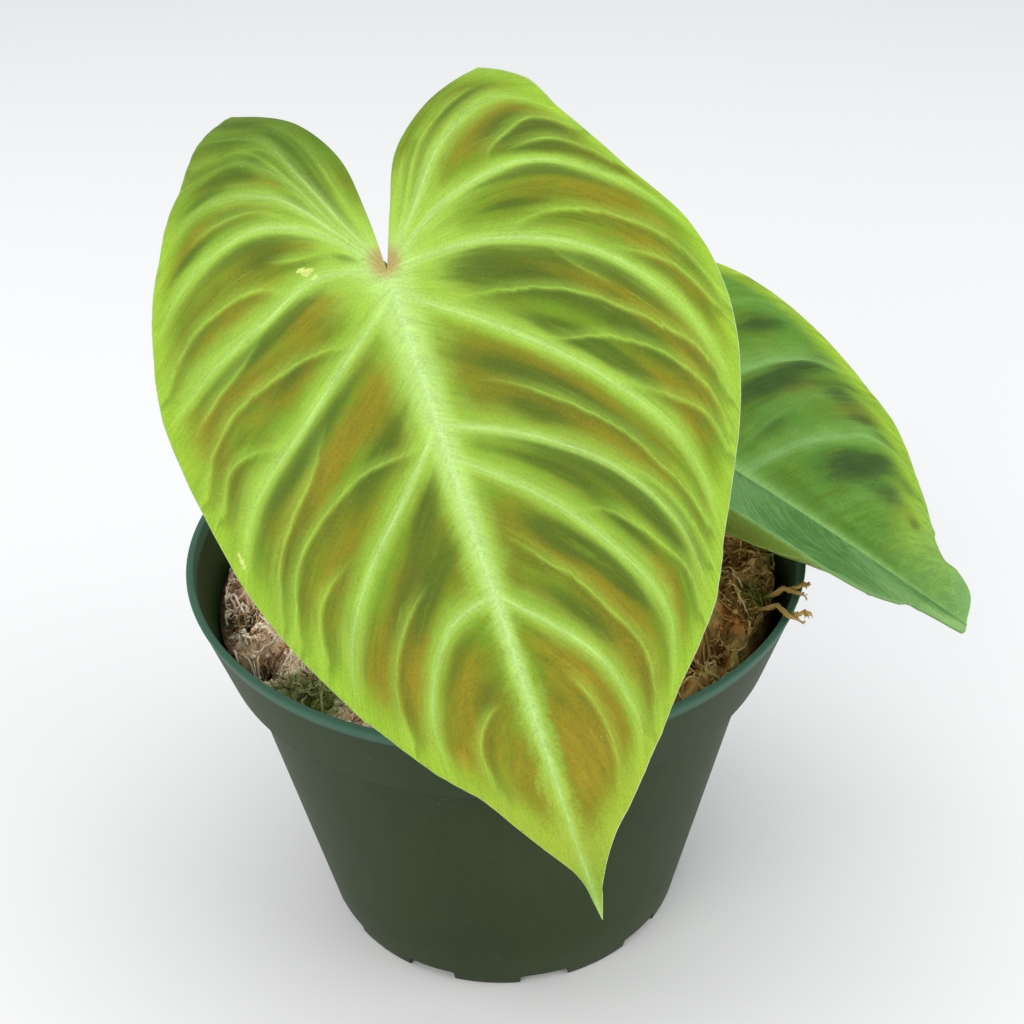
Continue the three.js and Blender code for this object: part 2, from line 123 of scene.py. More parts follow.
class Shader:
    """Builds the node tree of one material around a Principled surface."""

    def __init__(self, name: str) -> None:
        """Makes an empty material.

        Args:
            name: The material's name.
        """
        self.material = bpy.data.materials.new(name)
        self.material.use_nodes = True
        self.tree = self.material.node_tree
        self.tree.nodes.clear()

    def node(self, kind: str, settings: dict, inputs: dict) -> bpy.types.Node:
        """Adds a node.

        Args:
            kind: The node's Blender type.
            settings: Its properties, and under "stops" a ramp's positions and colours.
            inputs: Values or wires by socket index or name.

        Returns:
            The new node.
        """
        made = self.tree.nodes.new(kind)
        for key, value in settings.items():
            if key == "stops":
                self._fill_ramp(made.color_ramp, value)
            else:
                setattr(made, key, value)
        for key, value in inputs.items():
            socket = made.inputs[key]
            if isinstance(value, Wire):
                self.tree.links.new(value.socket, socket)
            elif isinstance(value, tuple) and socket.type == "RGBA":
                socket.default_value = (*value, 1.0)
            else:
                socket.default_value = value
        return made

    @staticmethod
    def _fill_ramp(ramp: bpy.types.ColorRamp, stops: tuple[tuple[float, Colour], ...]) -> None:
        """Sets the stops of a new ramp, which has two.

        Args:
            ramp: The ramp.
            stops: Positions from 0 to 1 with their colours.
        """
        while len(ramp.elements) < len(stops):
            ramp.elements.new(0.5)
        for element, (position, colour) in zip(ramp.elements, stops):
            element.position = position
            element.color = (*colour, 1.0)

    def take(self, kind: str, settings: dict, inputs: dict, output: int | str = 0) -> Wire:
        """Adds a node and returns one of its outputs as a wire."""
        return Wire(self, self.node(kind, settings, inputs).outputs[output])

    def point(self) -> Wire:
        """Returns the place on the object in metres."""
        return self.take("ShaderNodeTexCoord", {}, {}, "Object")

    def attributes(self, *names: str) -> list[Wire]:
        """Returns numbers stored on the mesh."""
        return [self.take("ShaderNodeAttribute", {"attribute_name": name}, {}, "Fac") for name in names]

    def split(self, vector: Wire) -> list[Wire]:
        """Returns a vector's three numbers."""
        parts = self.node("ShaderNodeSeparateXYZ", {}, {0: vector})
        return [Wire(self, parts.outputs[axis]) for axis in range(3)]

    def pair(self, layer: str) -> list[Wire]:
        """Returns the two numbers of one of the mesh's UV maps."""
        return self.split(self.take("ShaderNodeUVMap", {"uv_map": layer}, {}))[:2]

    def joined(self, x: Wire | float, y: Wire | float, z: Wire | float = 0.0) -> Wire:
        """Returns a vector made of three numbers."""
        return self.take("ShaderNodeCombineXYZ", {}, {0: x, 1: y, 2: z})

    def noise(self, vector: Wire, scale: float, detail: float = 2.0, roughness: float = 0.5) -> Wire:
        """Returns cloudy noise around one half."""
        inputs = {"Vector": vector, "Scale": scale, "Detail": detail, "Roughness": roughness}
        return self.take("ShaderNodeTexNoise", {}, inputs)

    def cells(self, vector: Wire, scale: float, feature: str = "F1") -> Wire:
        """Returns the distance to the points, or to the borders, of scattered cells."""
        return self.take("ShaderNodeTexVoronoi", {"feature": feature}, {"Vector": vector, "Scale": scale})

    def mix(self, factor: Wire, first: Wire | Colour, second: Wire | Colour) -> Wire:
        """Returns the first colour turned into the second as the factor goes from 0 to 1."""
        settings = {"data_type": "RGBA", "blend_type": "MIX"}
        return self.take("ShaderNodeMix", settings, {0: factor, 6: first, 7: second}, 2)

    def laid(self, ground: Wire | Colour, *coats: tuple[Wire, Wire | Colour]) -> Wire:
        """Returns a ground with coats laid over it in order, each given as its cover and its colour."""
        return reduce(lambda under, coat: self.mix(coat[0], under, coat[1]), coats, ground)

    def ramp(self, factor: Wire, stops: tuple[tuple[float, Colour], ...]) -> Wire:
        """Returns the colour of a ramp at the factor."""
        return self.take("ShaderNodeValToRGB", {"stops": stops}, {0: factor})

    def scaled(self, colour: Wire, factor: Wire) -> Wire:
        """Returns a colour made brighter or darker by a factor."""
        return self.take("ShaderNodeVectorMath", {"operation": "SCALE"}, {0: colour, "Scale": factor})

    def bump(self, height: Wire, depth: float, **under: Wire) -> Wire:
        """Returns a normal from a height of 0 to 1 and a depth in metres, laid over Normal where that is given."""
        return self.take("ShaderNodeBump", {}, {"Strength": 1.0, "Distance": depth, "Height": height, **under})

    def finish(self, inputs: dict) -> bpy.types.Material:
        """Ends the material with a Principled surface.

        Args:
            inputs: The surface's inputs by name.

        Returns:
            The finished material.
        """
        surface = self.take("ShaderNodeBsdfPrincipled", {}, inputs)
        self.node("ShaderNodeOutputMaterial", {}, {0: surface})
        return self.material


# Finishes

BLADE_LAYER = "blade"
SIDES_LAYER = "sides"
FINE_LAYERS = ("fine_a", "fine_b")
LEFT_SHIFT = 16.0
FAR_OFF = 99.0


@dataclass(frozen=True)
class MouldedPlastic:
    """Satin dark green plastic of the pot. Heights in metres."""

    body: Colour = (0.015, 0.029, 0.006)
    worn: Colour = (0.027, 0.046, 0.012)
    # lip: painted sky reflection, the lighter teal of the rim's top
    lip: Colour = (0.04, 0.105, 0.066)
    # painted shade: a dark line where the collar steps out over the body
    collar_shade: Colour = (0.004, 0.008, 0.004)
    dust: Colour = (0.13, 0.13, 0.09)
    sky_reflection_from: float = 0.1128
    sky_reflection_full: float = 0.1142
    collar_shade_at: float = 0.0932
    dusty_below: float = 0.02

    def material(self, name: str) -> bpy.types.Material:
        """Makes the plastic: cloudy green, faint turning rings, a painted sky reflection on the rim, a painted shade
        line under the collar and some dust.

        Args:
            name: The material's name.

        Returns:
            The material.
        """
        s = Shader(name)
        point = s.point()
        x, y, z = s.split(point)
        clouds, fine = s.noise(point, 26.0, 3.0), s.noise(point, 1400.0)
        flow = s.noise(s.joined(x * 3.0, y * 3.0, z * 0.35), 60.0, 3.0, 0.6)
        rings = s.noise(s.joined(0.0, 0.0, z), 900.0, 2.0, 0.7)
        specks = s.noise(point, 700.0, 2.0, 0.6).step(0.66, 0.76)
        return s.finish({
            "Base Color": s.laid(
                self.body,
                (clouds.step(0.3, 0.75) * 0.55 + flow.step(0.4, 0.8) * 0.25, self.worn),
                # painted reflection of the sky on the rim's top
                (z.step(self.sky_reflection_from, self.sky_reflection_full) * (0.75 + clouds * 0.4), self.lip),
                # painted shade under the collar's step
                (((z - self.collar_shade_at).size() * 1000.0).fall(0.1, 0.8) * 0.5, self.collar_shade),
                (specks * 0.35 + z.fall(0.0, self.dusty_below) * clouds * 0.25, self.dust),
            ),
            "Roughness": 0.4 + clouds * 0.16 + fine * 0.1 + specks * 0.2,
            "Specular IOR Level": 0.16,
            "Normal": s.bump(fine * 0.35 + rings * 0.35 + flow * 0.3, 0.00012),
        })


@dataclass(frozen=True)
class LeafPigment:
    """Colours of one leaf's upper face, and how wide its veins and its margin show. Widths in millimetres."""

    lime: Colour
    vein: Colour
    rib: Colour
    green: Colour
    dark: Colour
    olive: Colour
    brown: Colour
    russet: Colour
    margin: Colour
    rim: Colour
    tip: Colour
    tip_end: Colour
    junction: Colour
    scar: Colour
    vein_width: float
    line: float
    glow_width: float
    margin_near: float
    margin_far: float
    # how strongly the near half is painted with a blue-green reflection of the sky
    sky_sheen: float


@dataclass(frozen=True)
class LeafFace:
    """Velvety upper face, drawn from the blade's vein numbers and from distances in millimetres."""

    pigment: LeafPigment
    # painted shade: a deeper green laid where the lobes roll back away from the light
    painted_lobe_shade: Colour = (0.12, 0.25, 0.01)
    # painted glints: the colour of tiny light dots sparkling on the velvet
    velvet_glint: Colour = (0.7, 0.74, 0.45)
    # colours of the painted sky reflection on the back leaf's near half
    sky_sheen_low: Colour = (0.065, 0.18, 0.035)
    sky_sheen_high: Colour = (0.12, 0.25, 0.075)
    sky_sheen_pale: Colour = (0.21, 0.38, 0.1)
    sky_sheen_rim: Colour = (0.17, 0.31, 0.09)

    def line(self, gap: Wire, strength: Wire, share: Wire, spread: float) -> Wire:
        """Returns how strongly a side vein shows: 1 on it, falling to 0 as far off as its width and its halo."""
        width = strength * (1.1 - share) * self.pigment.vein_width + 0.1
        return (gap / (width + spread)).fall(0.15, 1.5) * strength.step(0.05, 0.7)

    def material(self, name: str) -> bpy.types.Material:
        """Makes the upper face.

        The ground is green, olive and brown, with dark streaks under some veins: partly the leaf's own colour, partly
        painted shade below the raised veins. It fades to lime towards the veins, the midrib, the heart of the leaf and
        its margin. The lobes are darkened with painted shade where they roll back from the light.

        Args:
            name: The material's name.

        Returns:
            The material.
        """
        p = self.pigment
        s = Shader(name)
        point = s.point()
        number, share = s.pair(BLADE_LAYER)
        before, after = s.pair(SIDES_LAYER)
        fine = [gap for layer in FINE_LAYERS for gap in s.pair(layer)]
        left = number.step(LEFT_SHIFT - 1.0, LEFT_SHIFT)
        spacing, rim_gap, rib_gap, heart_gap = s.attributes("spacing", "rim_gap", "rib_gap", "heart_gap")
        flush, shade, scar, painted_lobe_shade = s.attributes("flush", "shade", "scar", "painted_lobe_shade")
        fade, tipward, rib_width = s.attributes("fade", "tipward", "rib_width")
        clouds = s.noise(point, 55.0, 3.0, 0.55)
        blots = s.noise(point, 190.0, 3.0, 0.6)
        grain = s.noise(point, 1300.0, 2.0, 0.65)
        strokes = s.noise(s.joined(number * 6.5, share * 3.0), 1.0, 5.0, 0.64)
        hairs = s.noise(s.joined(number * 36.0, share * 8.0), 1.0, 3.0, 0.6)
        wander = clouds.off(5.0) + blots.off(4.0) + strokes.off(5.0) + grain.off(3.0)
        nudge = blots.off(0.9) + grain.off(0.3)

        between = number.fraction()
        past, ahead = between * spacing, (1.0 - between) * spacing
        fine_past = reduce(Wire.least, [gap + gap.under(0.0) * FAR_OFF for gap in fine])
        fine_ahead = reduce(Wire.least, [(1.0 - gap.under(0.0)) * FAR_OFF - gap for gap in fine])

        brown = (flush + strokes.off(1.2) + blots.off(0.7) + grain.off(1.2)).step(0.02, 0.82)
        russet = (flush + clouds.off(1.2) + strokes.off(0.8) + (grain - 0.5)).step(0.75, 1.5)
        # dark streaks just below the veins: partly the leaf's own dark green, partly painted shade below the raised
        # veins
        streak = (shade + strokes.off(1.3) + hairs.off(0.6)).step(0.12, 0.95)
        streak = streak * past.step(0.3, 1.4).most(1.0 - before)
        glow_before = ((past + wander * 0.5) / p.glow_width).fall(0.05, 1.0) * before
        glow_after = ((ahead + wander * 0.8) / (p.glow_width * 1.5)).fall(0.05, 1.0) * after
        margin = (rim_gap + wander * (p.margin_far * 0.09)).fall(p.margin_near, p.margin_far)
        if p.sky_sheen:
            margin = margin * (0.8 + strokes.off(1.6) + (clouds - 0.5)).least(1.0)
        colour = s.laid(
            p.olive,
            ((clouds + strokes.off(1.2)).step(0.34, 0.66), p.green),
            (brown, p.brown),
            (russet * 0.8, p.russet),
            (streak * 0.6, p.dark),
            (glow_before.most(glow_after) * 0.9, p.lime),
            (margin * (1.0 - painted_lobe_shade * 0.8) * 0.92, p.margin),
            (((rib_gap + wander) / (2.6 + rib_width * 4.0)).fall(0.1, 1.0) * 0.92, p.lime),
            ((heart_gap + wander * 2.0).fall(6.0, 27.0 - left * 6.5) * 0.9, p.lime),
            (tipward * (1.0 - brown * 0.85) * 0.75, p.tip),
            ((heart_gap + wander).step(132.0, 143.0) * 0.85, p.tip_end),
            # the same streaks laid again over the lime, partly painted shade
            (streak * (0.8 - left * 0.1), p.dark),
            (strokes.step(0.56, 0.8) * 0.3, p.margin),
        )

        fade = fade * (1.0 - tipward * 0.5) * p.line
        fine_glow = (fine_ahead + nudge).fall(0.0, 3.0).most((fine_past + nudge).fall(0.0, 1.3))
        # dark band just below each fine vein: partly dark pigment, partly painted shadow
        fine_dark_and_shadow = fine_past.step(0.4, 1.4) * (fine_past + wander * 0.4).fall(1.4, 4.0)
        fine_line = (fine_past.least(fine_ahead) + nudge * 0.4).fall(0.02, 0.55) * rim_gap.step(1.0, 8.0)
        inner = (1.0 - share.step(0.35, 1.0) * 0.85) * rim_gap.step(0.8, 8.0) * p.line
        shifted_past, shifted_ahead = past + nudge.size() * 0.35, ahead + nudge.size() * 0.35
        halo = self.line(shifted_past, before, share, 0.9).most(self.line(shifted_ahead, after, share, 1.2))
        core = self.line(shifted_past, before, share, 0.0).most(self.line(shifted_ahead, after, share, 0.0))
        rib_halo = ((rib_gap + wander * 0.12) / (rib_width * 1.7 + 0.7)).fall(0.2, 1.5)
        rib_core = ((rib_gap + nudge * 0.3) / (rib_width * 0.4 + 0.2)).fall(0.2, 1.6)
        colour = s.laid(
            colour,
            (fine_glow * fade * 0.4, p.lime),
            (fine_dark_and_shadow * fade * 0.33, p.dark),
            (fine_line * fade * 0.42, p.lime),
            (halo * inner * 0.38, p.vein),
            (core * inner * 0.75, p.vein),
            (rib_halo * (1.0 - tipward * 0.72) * 0.85, p.vein),
            (rib_core * (1.0 - tipward * 0.5) * 0.6, p.rib),
            ((heart_gap + wander * 0.5).fall(2.0, 10.0) * 0.6, p.vein),
            ((heart_gap + wander * 0.3).fall(1.5, 5.5) * 0.9, p.junction),
            ((scar + blots.off(0.8) + grain.off(0.5)).step(0.42, 0.6) * 0.8, p.scar),
            (rim_gap.fall(0.15, 0.5) * (0.62 - left * 0.45), p.rim),
            (painted_lobe_shade * 0.4, self.painted_lobe_shade),
        )
        # painted reflection: the near half, seen at a glancing angle, takes the blue-green of the reflected sky, paler
        # lower down and along its edge
        if p.sky_sheen:
            pale = (number - 25.0 + clouds.off(2.0)).step(0.0, 2.5) * share.step(0.35, 0.85)
            patchy = (clouds + strokes.off(0.9)).step(0.3, 0.7)
            sky_sheen = s.laid(self.sky_sheen_low, (patchy, self.sky_sheen_high), (pale, self.sky_sheen_pale))
            edge = (rim_gap + nudge).fall(0.2, 2.2)
            colour = s.laid(colour, (left * p.sky_sheen, sky_sheen), (edge * left * 0.7, self.sky_sheen_rim))

        velvet = s.noise(point, 2600.0, 2.0, 0.7)
        weave = s.cells(point, 1900.0)
        # painted glints: tiny pale dots that stand for light sparkling on the velvet
        specks = s.noise(point, 1300.0, 1.0).step(0.77, 0.83)
        speckle = velvet.off(0.26) + (0.45 - weave) * 0.16 + grain.off(0.2)
        tone = 1.0 + speckle + blots.off(0.2) + strokes.off(0.6) + hairs.off(0.5)
        relief = s.bump(velvet * 0.5 + (0.5 - weave) * 0.3 + strokes * 0.3, 0.00018)
        veins = core * inner * 0.5 + rib_core * 0.6 + fine_line * fade * 0.2
        return s.finish({
            # the lobes are also darkened here, painted shade
            "Base Color": s.mix(specks * 0.14, s.scaled(colour, tone * (1.0 - painted_lobe_shade * 0.34)), self.velvet_glint),
            "Roughness": 0.5 + velvet * 0.14 - core * 0.05,
            "Specular IOR Level": 0.15,
            "Subsurface Weight": 0.12,
            "Subsurface Radius": (0.001, 0.0016, 0.0003),
            "Subsurface Scale": 1.0,
            "Normal": s.bump(veins, 0.0002, Normal=relief),
        })


@dataclass(frozen=True)
class LeafUnderside:
    """Matt underside with raised pale veins and a russet flush between them."""

    green: Colour = (0.2, 0.34, 0.04)
    flush: Colour = (0.22, 0.19, 0.03)
    vein: Colour = (0.36, 0.48, 0.12)

    def material(self, name: str) -> bpy.types.Material:
        """Makes the underside.

        Args:
            name: The material's name.

        Returns:
            The material.
        """
        s = Shader(name)
        point = s.point()
        between = s.pair(BLADE_LAYER)[0].fraction()
        spacing, rim_gap, rib_gap, strength = s.attributes("spacing", "rim_gap", "rib_gap", "strength")
        nearest = (between * spacing).least((1.0 - between) * spacing)
        clouds, blots = s.noise(point, 90.0, 3.0, 0.6), s.noise(point, 600.0, 2.0, 0.6)
        patch = nearest.step(1.4, 5.0) * rim_gap.step(2.0, 9.0) * rib_gap.step(2.0, 8.0)
        line = nearest.fall(0.35, 1.3) * strength.step(0.05, 0.4) * rim_gap.step(0.5, 4.0)
        first, second = s.pair(FINE_LAYERS[0])
        branch = first.size().least(second.size()).fall(0.15, 0.6)
        net = s.cells(point, 520.0, "DISTANCE_TO_EDGE").fall(0.0, 0.1)
        colour = s.laid(
            self.green,
            (patch * clouds.step(0.35, 0.7) * (0.5 + blots * 0.5), self.flush),
            (line.most(rib_gap.fall(0.8, 2.0)).most(branch * 0.6) * 0.85, self.vein),
            (net * 0.3, self.vein),
        )
        return s.finish({
            "Base Color": s.scaled(colour, 0.88 + blots * 0.24),
            "Roughness": 0.5 + blots * 0.14,
            "Specular IOR Level": 0.3,
            "Subsurface Weight": 0.12,
            "Subsurface Radius": (0.0012, 0.002, 0.0004),
            "Subsurface Scale": 1.0,
            "Normal": s.bump(net * 0.6 + blots * 0.2, 0.00012),
        })


@dataclass(frozen=True)
class StalkSkin:
    """Skin of a leaf stalk or of the stem: two greens or reds in long streaks. Heights in metres."""

    ground: Colour
    streak: Colour
    joint: Colour
    joint_low: float
    joint_high: float
    wart: Colour = (0.42, 0.45, 0.2)

    def material(self, name: str) -> bpy.types.Material:
        """Makes the streaked skin, which turns to the joint colour between two heights.

        Args:
            name: The material's name.

        Returns:
            The material.
        """
        s = Shader(name)
        point = s.point()
        x, y, z = s.split(point)
        long = s.noise(s.joined(x * 5.0, y * 5.0, z), 170.0, 3.0, 0.6)
        blots, warts = s.noise(point, 520.0, 3.0, 0.6), s.cells(point, 900.0)
        joint = z.step(self.joint_low, self.joint_high) * (0.5 + blots * 0.5)
        colour = s.laid(self.ground, (long.step(0.35, 0.7), self.streak), (joint, self.joint))
        return s.finish({
            "Base Color": s.mix(warts.fall(0.08, 0.3) * 0.35, s.scaled(colour, 0.8 + blots * 0.4), self.wart),
            "Roughness": 0.42 + blots * 0.2,
            "Specular IOR Level": 0.4,
            "Subsurface Weight": 0.06,
            "Subsurface Radius": (0.001, 0.001, 0.0004),
            "Subsurface Scale": 1.0,
            "Normal": s.bump(long * 0.5 + blots * 0.3 + (1.0 - warts) * 0.2, 0.00018),
        })


@dataclass(frozen=True)
class BristleSkin:
    """Soft reddish bristles with pale tips."""

    root: Colour = (0.3, 0.1, 0.05)
    tip: Colour = (0.42, 0.42, 0.18)

    def material(self, name: str) -> bpy.types.Material:
        """Makes the bristles' skin, paler on some than on others.

        Args:
            name: The material's name.

        Returns:
            The material.
        """
        s = Shader(name)
        shade, = s.attributes("shade")
        blots = s.noise(s.point(), 900.0)
        colour = s.mix(shade.step(0.2, 0.9) * 0.7 + blots * 0.3, self.root, self.tip)
        return s.finish({"Base Color": colour, "Roughness": 0.5 + blots * 0.15, "Specular IOR Level": 0.3})


@dataclass(frozen=True)
class MossFibre:
    """Dry moss: pinkish tan at the left, brown and olive at the right, green here and there. Places in metres."""

    brightness: float = 1.0
    tan: tuple[tuple[float, Colour], ...] = (
        (0.2, (0.07, 0.03, 0.012)), (0.32, (0.45, 0.24, 0.12)), (0.41, (0.95, 0.66, 0.4)),
        (0.56, (0.99, 0.8, 0.57)), (0.8, (0.99, 0.9, 0.75)),
    )
    brown: tuple[tuple[float, Colour], ...] = (
        (0.18, (0.07, 0.03, 0.01)), (0.32, (0.3, 0.16, 0.045)), (0.46, (0.54, 0.34, 0.1)),
        (0.62, (0.64, 0.44, 0.15)), (0.8, (0.74, 0.57, 0.26)),
    )
    rust: Colour = (0.5, 0.17, 0.04)
    live: Colour = (0.13, 0.2, 0.02)
    clump_left: float = 0.049
    clump_forward: float = 0.051
    sunk_below: float = 0.1155
    open_above: float = 0.117
    # heights between which the moss is darkened with painted shade, darkest lowest down
    unshaded_above: float = 0.1055
    darkest_shade_below: float = 0.098

    def material(self, name: str) -> bpy.types.Material:
        """Makes the moss colours, which follow the place in the pot and each strand's own shade, with painted shade
        lower down and, on the bed, in its low places.

        Args:
            name: The material's name.

        Returns:
            The material.
        """
        s = Shader(name)
        point = s.point()
        x, y, z = s.split(point)
        shade, = s.attributes("shade")
        clouds, blots = s.noise(point, 55.0, 3.0, 0.6), s.noise(point, 420.0, 3.0, 0.65)
        threads = s.noise(s.joined(x + y * 0.6, (y - x * 0.6) * 0.2 + clouds.off(0.02), z), 1500.0, 3.0, 0.6)
        mixed = shade * 0.5 + blots * 0.15 + threads * 0.25 + clouds * 0.1
        rightward = (x * 12.0).step(-0.3, 0.5)
        sunk = z.fall(self.sunk_below, self.open_above)
        rust = s.noise(point, 120.0).step(0.53, 0.64) * rightward
        east, north = x + self.clump_left, y + self.clump_forward
        clump = ((east * east + north * north) * 10000.0 + blots.off(3.0)).fall(0.5, 2.4)
        live = s.noise(point, 75.0, 2.0, 0.4).step(0.57, 0.68) * (1.0 - shade.step(0.35, 0.9) * 0.5)
        live = live * (0.35 + rightward * 0.65)
        colour = s.laid(
            s.ramp(mixed, self.tan),
            ((x + clouds.off(0.05)).step(-0.03, 0.025), s.ramp(mixed, self.brown)),
            (rust * sunk * 0.6, self.rust),
            (live.most(clump) * sunk * 0.85, self.live),
        )
        return s.finish({
            # painted shade: darker lower down in the pot
            "Base Color": s.scaled(
                colour, (0.25 + z.step(self.darkest_shade_below, self.unshaded_above) * 0.75) * self.brightness,
            ),
            "Roughness": 0.8 + blots * 0.15,
            "Specular IOR Level": 0.2,
            "Normal": s.bump(blots * 0.5 + threads, 0.0006),
        })


@dataclass(frozen=True)
class PaleBoard:
    """Matt pale ground under the pot."""

    colour: Colour = (0.78, 0.765, 0.745)
    shade: Colour = (0.7, 0.69, 0.67)

    def material(self, name: str) -> bpy.types.Material:
        """Makes the ground's finish.

        Args:
            name: The material's name.

        Returns:
            The material.
        """
        s = Shader(name)
        colour = s.mix(s.noise(s.point(), 3.0) * 0.15, self.colour, self.shade)
        return s.finish({"Base Color": colour, "Roughness": 0.75, "Specular IOR Level": 0.2})


# Meshes


class Shading(Enum):
    """How a finished mesh is shaded."""

    SMOOTH = "smooth"
    CREASED = "creased"


def shown(name: str, data: bpy.types.ID) -> bpy.types.Object:
    """Puts something into the scene.

    Args:
        name: The new object's name.
        data: The mesh, curve, light or camera that it holds.

    Returns:
        The object.
    """
    thing = bpy.data.objects.new(name, data)
    bpy.context.scene.collection.objects.link(thing)
    return thing


def as_piece(name: str, mesh: bpy.types.Mesh, slot: str, *materials: bpy.types.Material) -> bpy.types.Object:
    """Puts a finished mesh into the scene.

    Args:
        name: The piece's name.
        mesh: Its mesh, in metres in the shared frame.
        slot: The name of a material slot; it is not used.
        materials: Its materials in slot order.

    Returns:
        The piece, riding on the plant's one body.
    """
    for material in materials:
        mesh.materials.append(material)
    piece = shown(name, mesh)
    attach(piece, ROOT)
    return piece


def mesh_of(name: str, bm: bmesh.types.BMesh, shading: Shading = Shading.SMOOTH) -> bpy.types.Mesh:
    """Turns a bmesh into a mesh.

    Args:
        name: The mesh's name.
        bm: The bmesh, which is freed.
        shading: Smooth all over, or creased at sharp edges.

    Returns:
        The mesh.
    """
    for face in bm.faces:
        face.smooth = True
    if shading is Shading.CREASED:
        for edge in bm.edges:
            edge.smooth = edge.calc_face_angle(0.0) < CREASE_ANGLE
    mesh = bpy.data.meshes.new(name)
    bm.to_mesh(mesh)
    bm.free()
    return mesh


def closed(bm: bmesh.types.BMesh) -> None:
    """Merges a bmesh's doubles and turns its faces outwards."""
    bmesh.ops.remove_doubles(bm, verts=bm.verts, dist=SAME_PLACE)
    bmesh.ops.recalc_face_normals(bm, faces=bm.faces)


def spun(section: list[Point2], steps: int) -> bmesh.types.BMesh:
    """Spins a section about the pot's axis.

    Args:
        section: Radii and heights in millimetres, from axis to axis.
        steps: How many sides the body has.

    Returns:
        The closed body, in metres.
    """
    bm = bmesh.new()
    points = [bm.verts.new((radius * MM, 0.0, z * MM)) for radius, z in section]
    edges = [bm.edges.new(pair) for pair in zip(points, points[1:])]
    bmesh.ops.spin(
        bm, geom=points + edges, cent=(0, 0, 0), axis=(0, 0, 1), angle=math.tau, steps=steps, use_merge=True,
    )
    closed(bm)
    return bm


def applied(thing: bpy.types.Object) -> bpy.types.Mesh:
    """Applies an object's curve settings or modifiers, and takes the object away.

    Args:
        thing: The object.

    Returns:
        The mesh that it gave.
    """
    graph = bpy.context.evaluated_depsgraph_get()
    mesh = bpy.data.meshes.new_from_object(thing.evaluated_get(graph))
    bpy.data.objects.remove(thing)
    return mesh


def around(reach: float, angle: float) -> Point2:
    """Returns the x and y of a place at a distance and an angle in radians."""
    return reach * math.cos(angle), reach * math.sin(angle)


def sideways(rng: random.Random, ahead: Vector) -> Vector:
    """Picks a direction square to a course.

    Args:
        rng: The seeded random stream.
        ahead: The course's direction.

    Returns:
        The direction, one long.
    """
    side = ahead.orthogonal().normalized()
    side.rotate(Matrix.Rotation(rng.uniform(0, math.tau), 3, ahead))
    return side


@dataclass
class Tuft:
    """Many thin tapering fibres that become one mesh. All fibres have the same number of points."""

    name: str

    def __post_init__(self) -> None:
        """Starts with no fibres."""
        self.curve = bpy.data.curves.new(self.name, "CURVE")
        self.curve.dimensions = "3D"
        self.curve.bevel_depth = 1.0
        self.curve.bevel_resolution = 0
        self.shades: list[float] = []

    def add(self, points: list[Vector], radii: list[float], shade: float) -> None:
        """Adds one fibre.

        Args:
            points: Its course in millimetres.
            radii: Its radius at each point in millimetres. The ends are 0, which closes it.
            shade: A number from 0 to 1 that its colour follows.
        """
        spline = self.curve.splines.new("POLY")
        spline.points.add(len(points) - 1)
        spline.points.foreach_set("co", [value for point in points for value in (*(point * MM), 1.0)])
        spline.points.foreach_set("radius", [radius * MM for radius in radii])
        self.shades.append(shade)

    def build(self, slot: str, skin: bpy.types.Material) -> bpy.types.Object:
        """Returns the fibres as one piece.

        Args:
            slot: The name of a material slot, passed on to as_piece.
            skin: Their material.

        Returns:
            The piece, with closed ends and a shade on every vertex.
        """
        raw = applied(shown(self.name, self.curve))
        bpy.data.curves.remove(self.curve)
        layer = raw.attributes.new("shade", "FLOAT", "POINT")
        layer.data.foreach_set("value", np.repeat(self.shades, len(raw.vertices) // len(self.shades)))
        bm = bmesh.new()
        bm.from_mesh(raw)
        closed(bm)
        bpy.data.meshes.remove(raw)
        return as_piece(self.name, mesh_of(self.name, bm), slot, skin)


# Pot


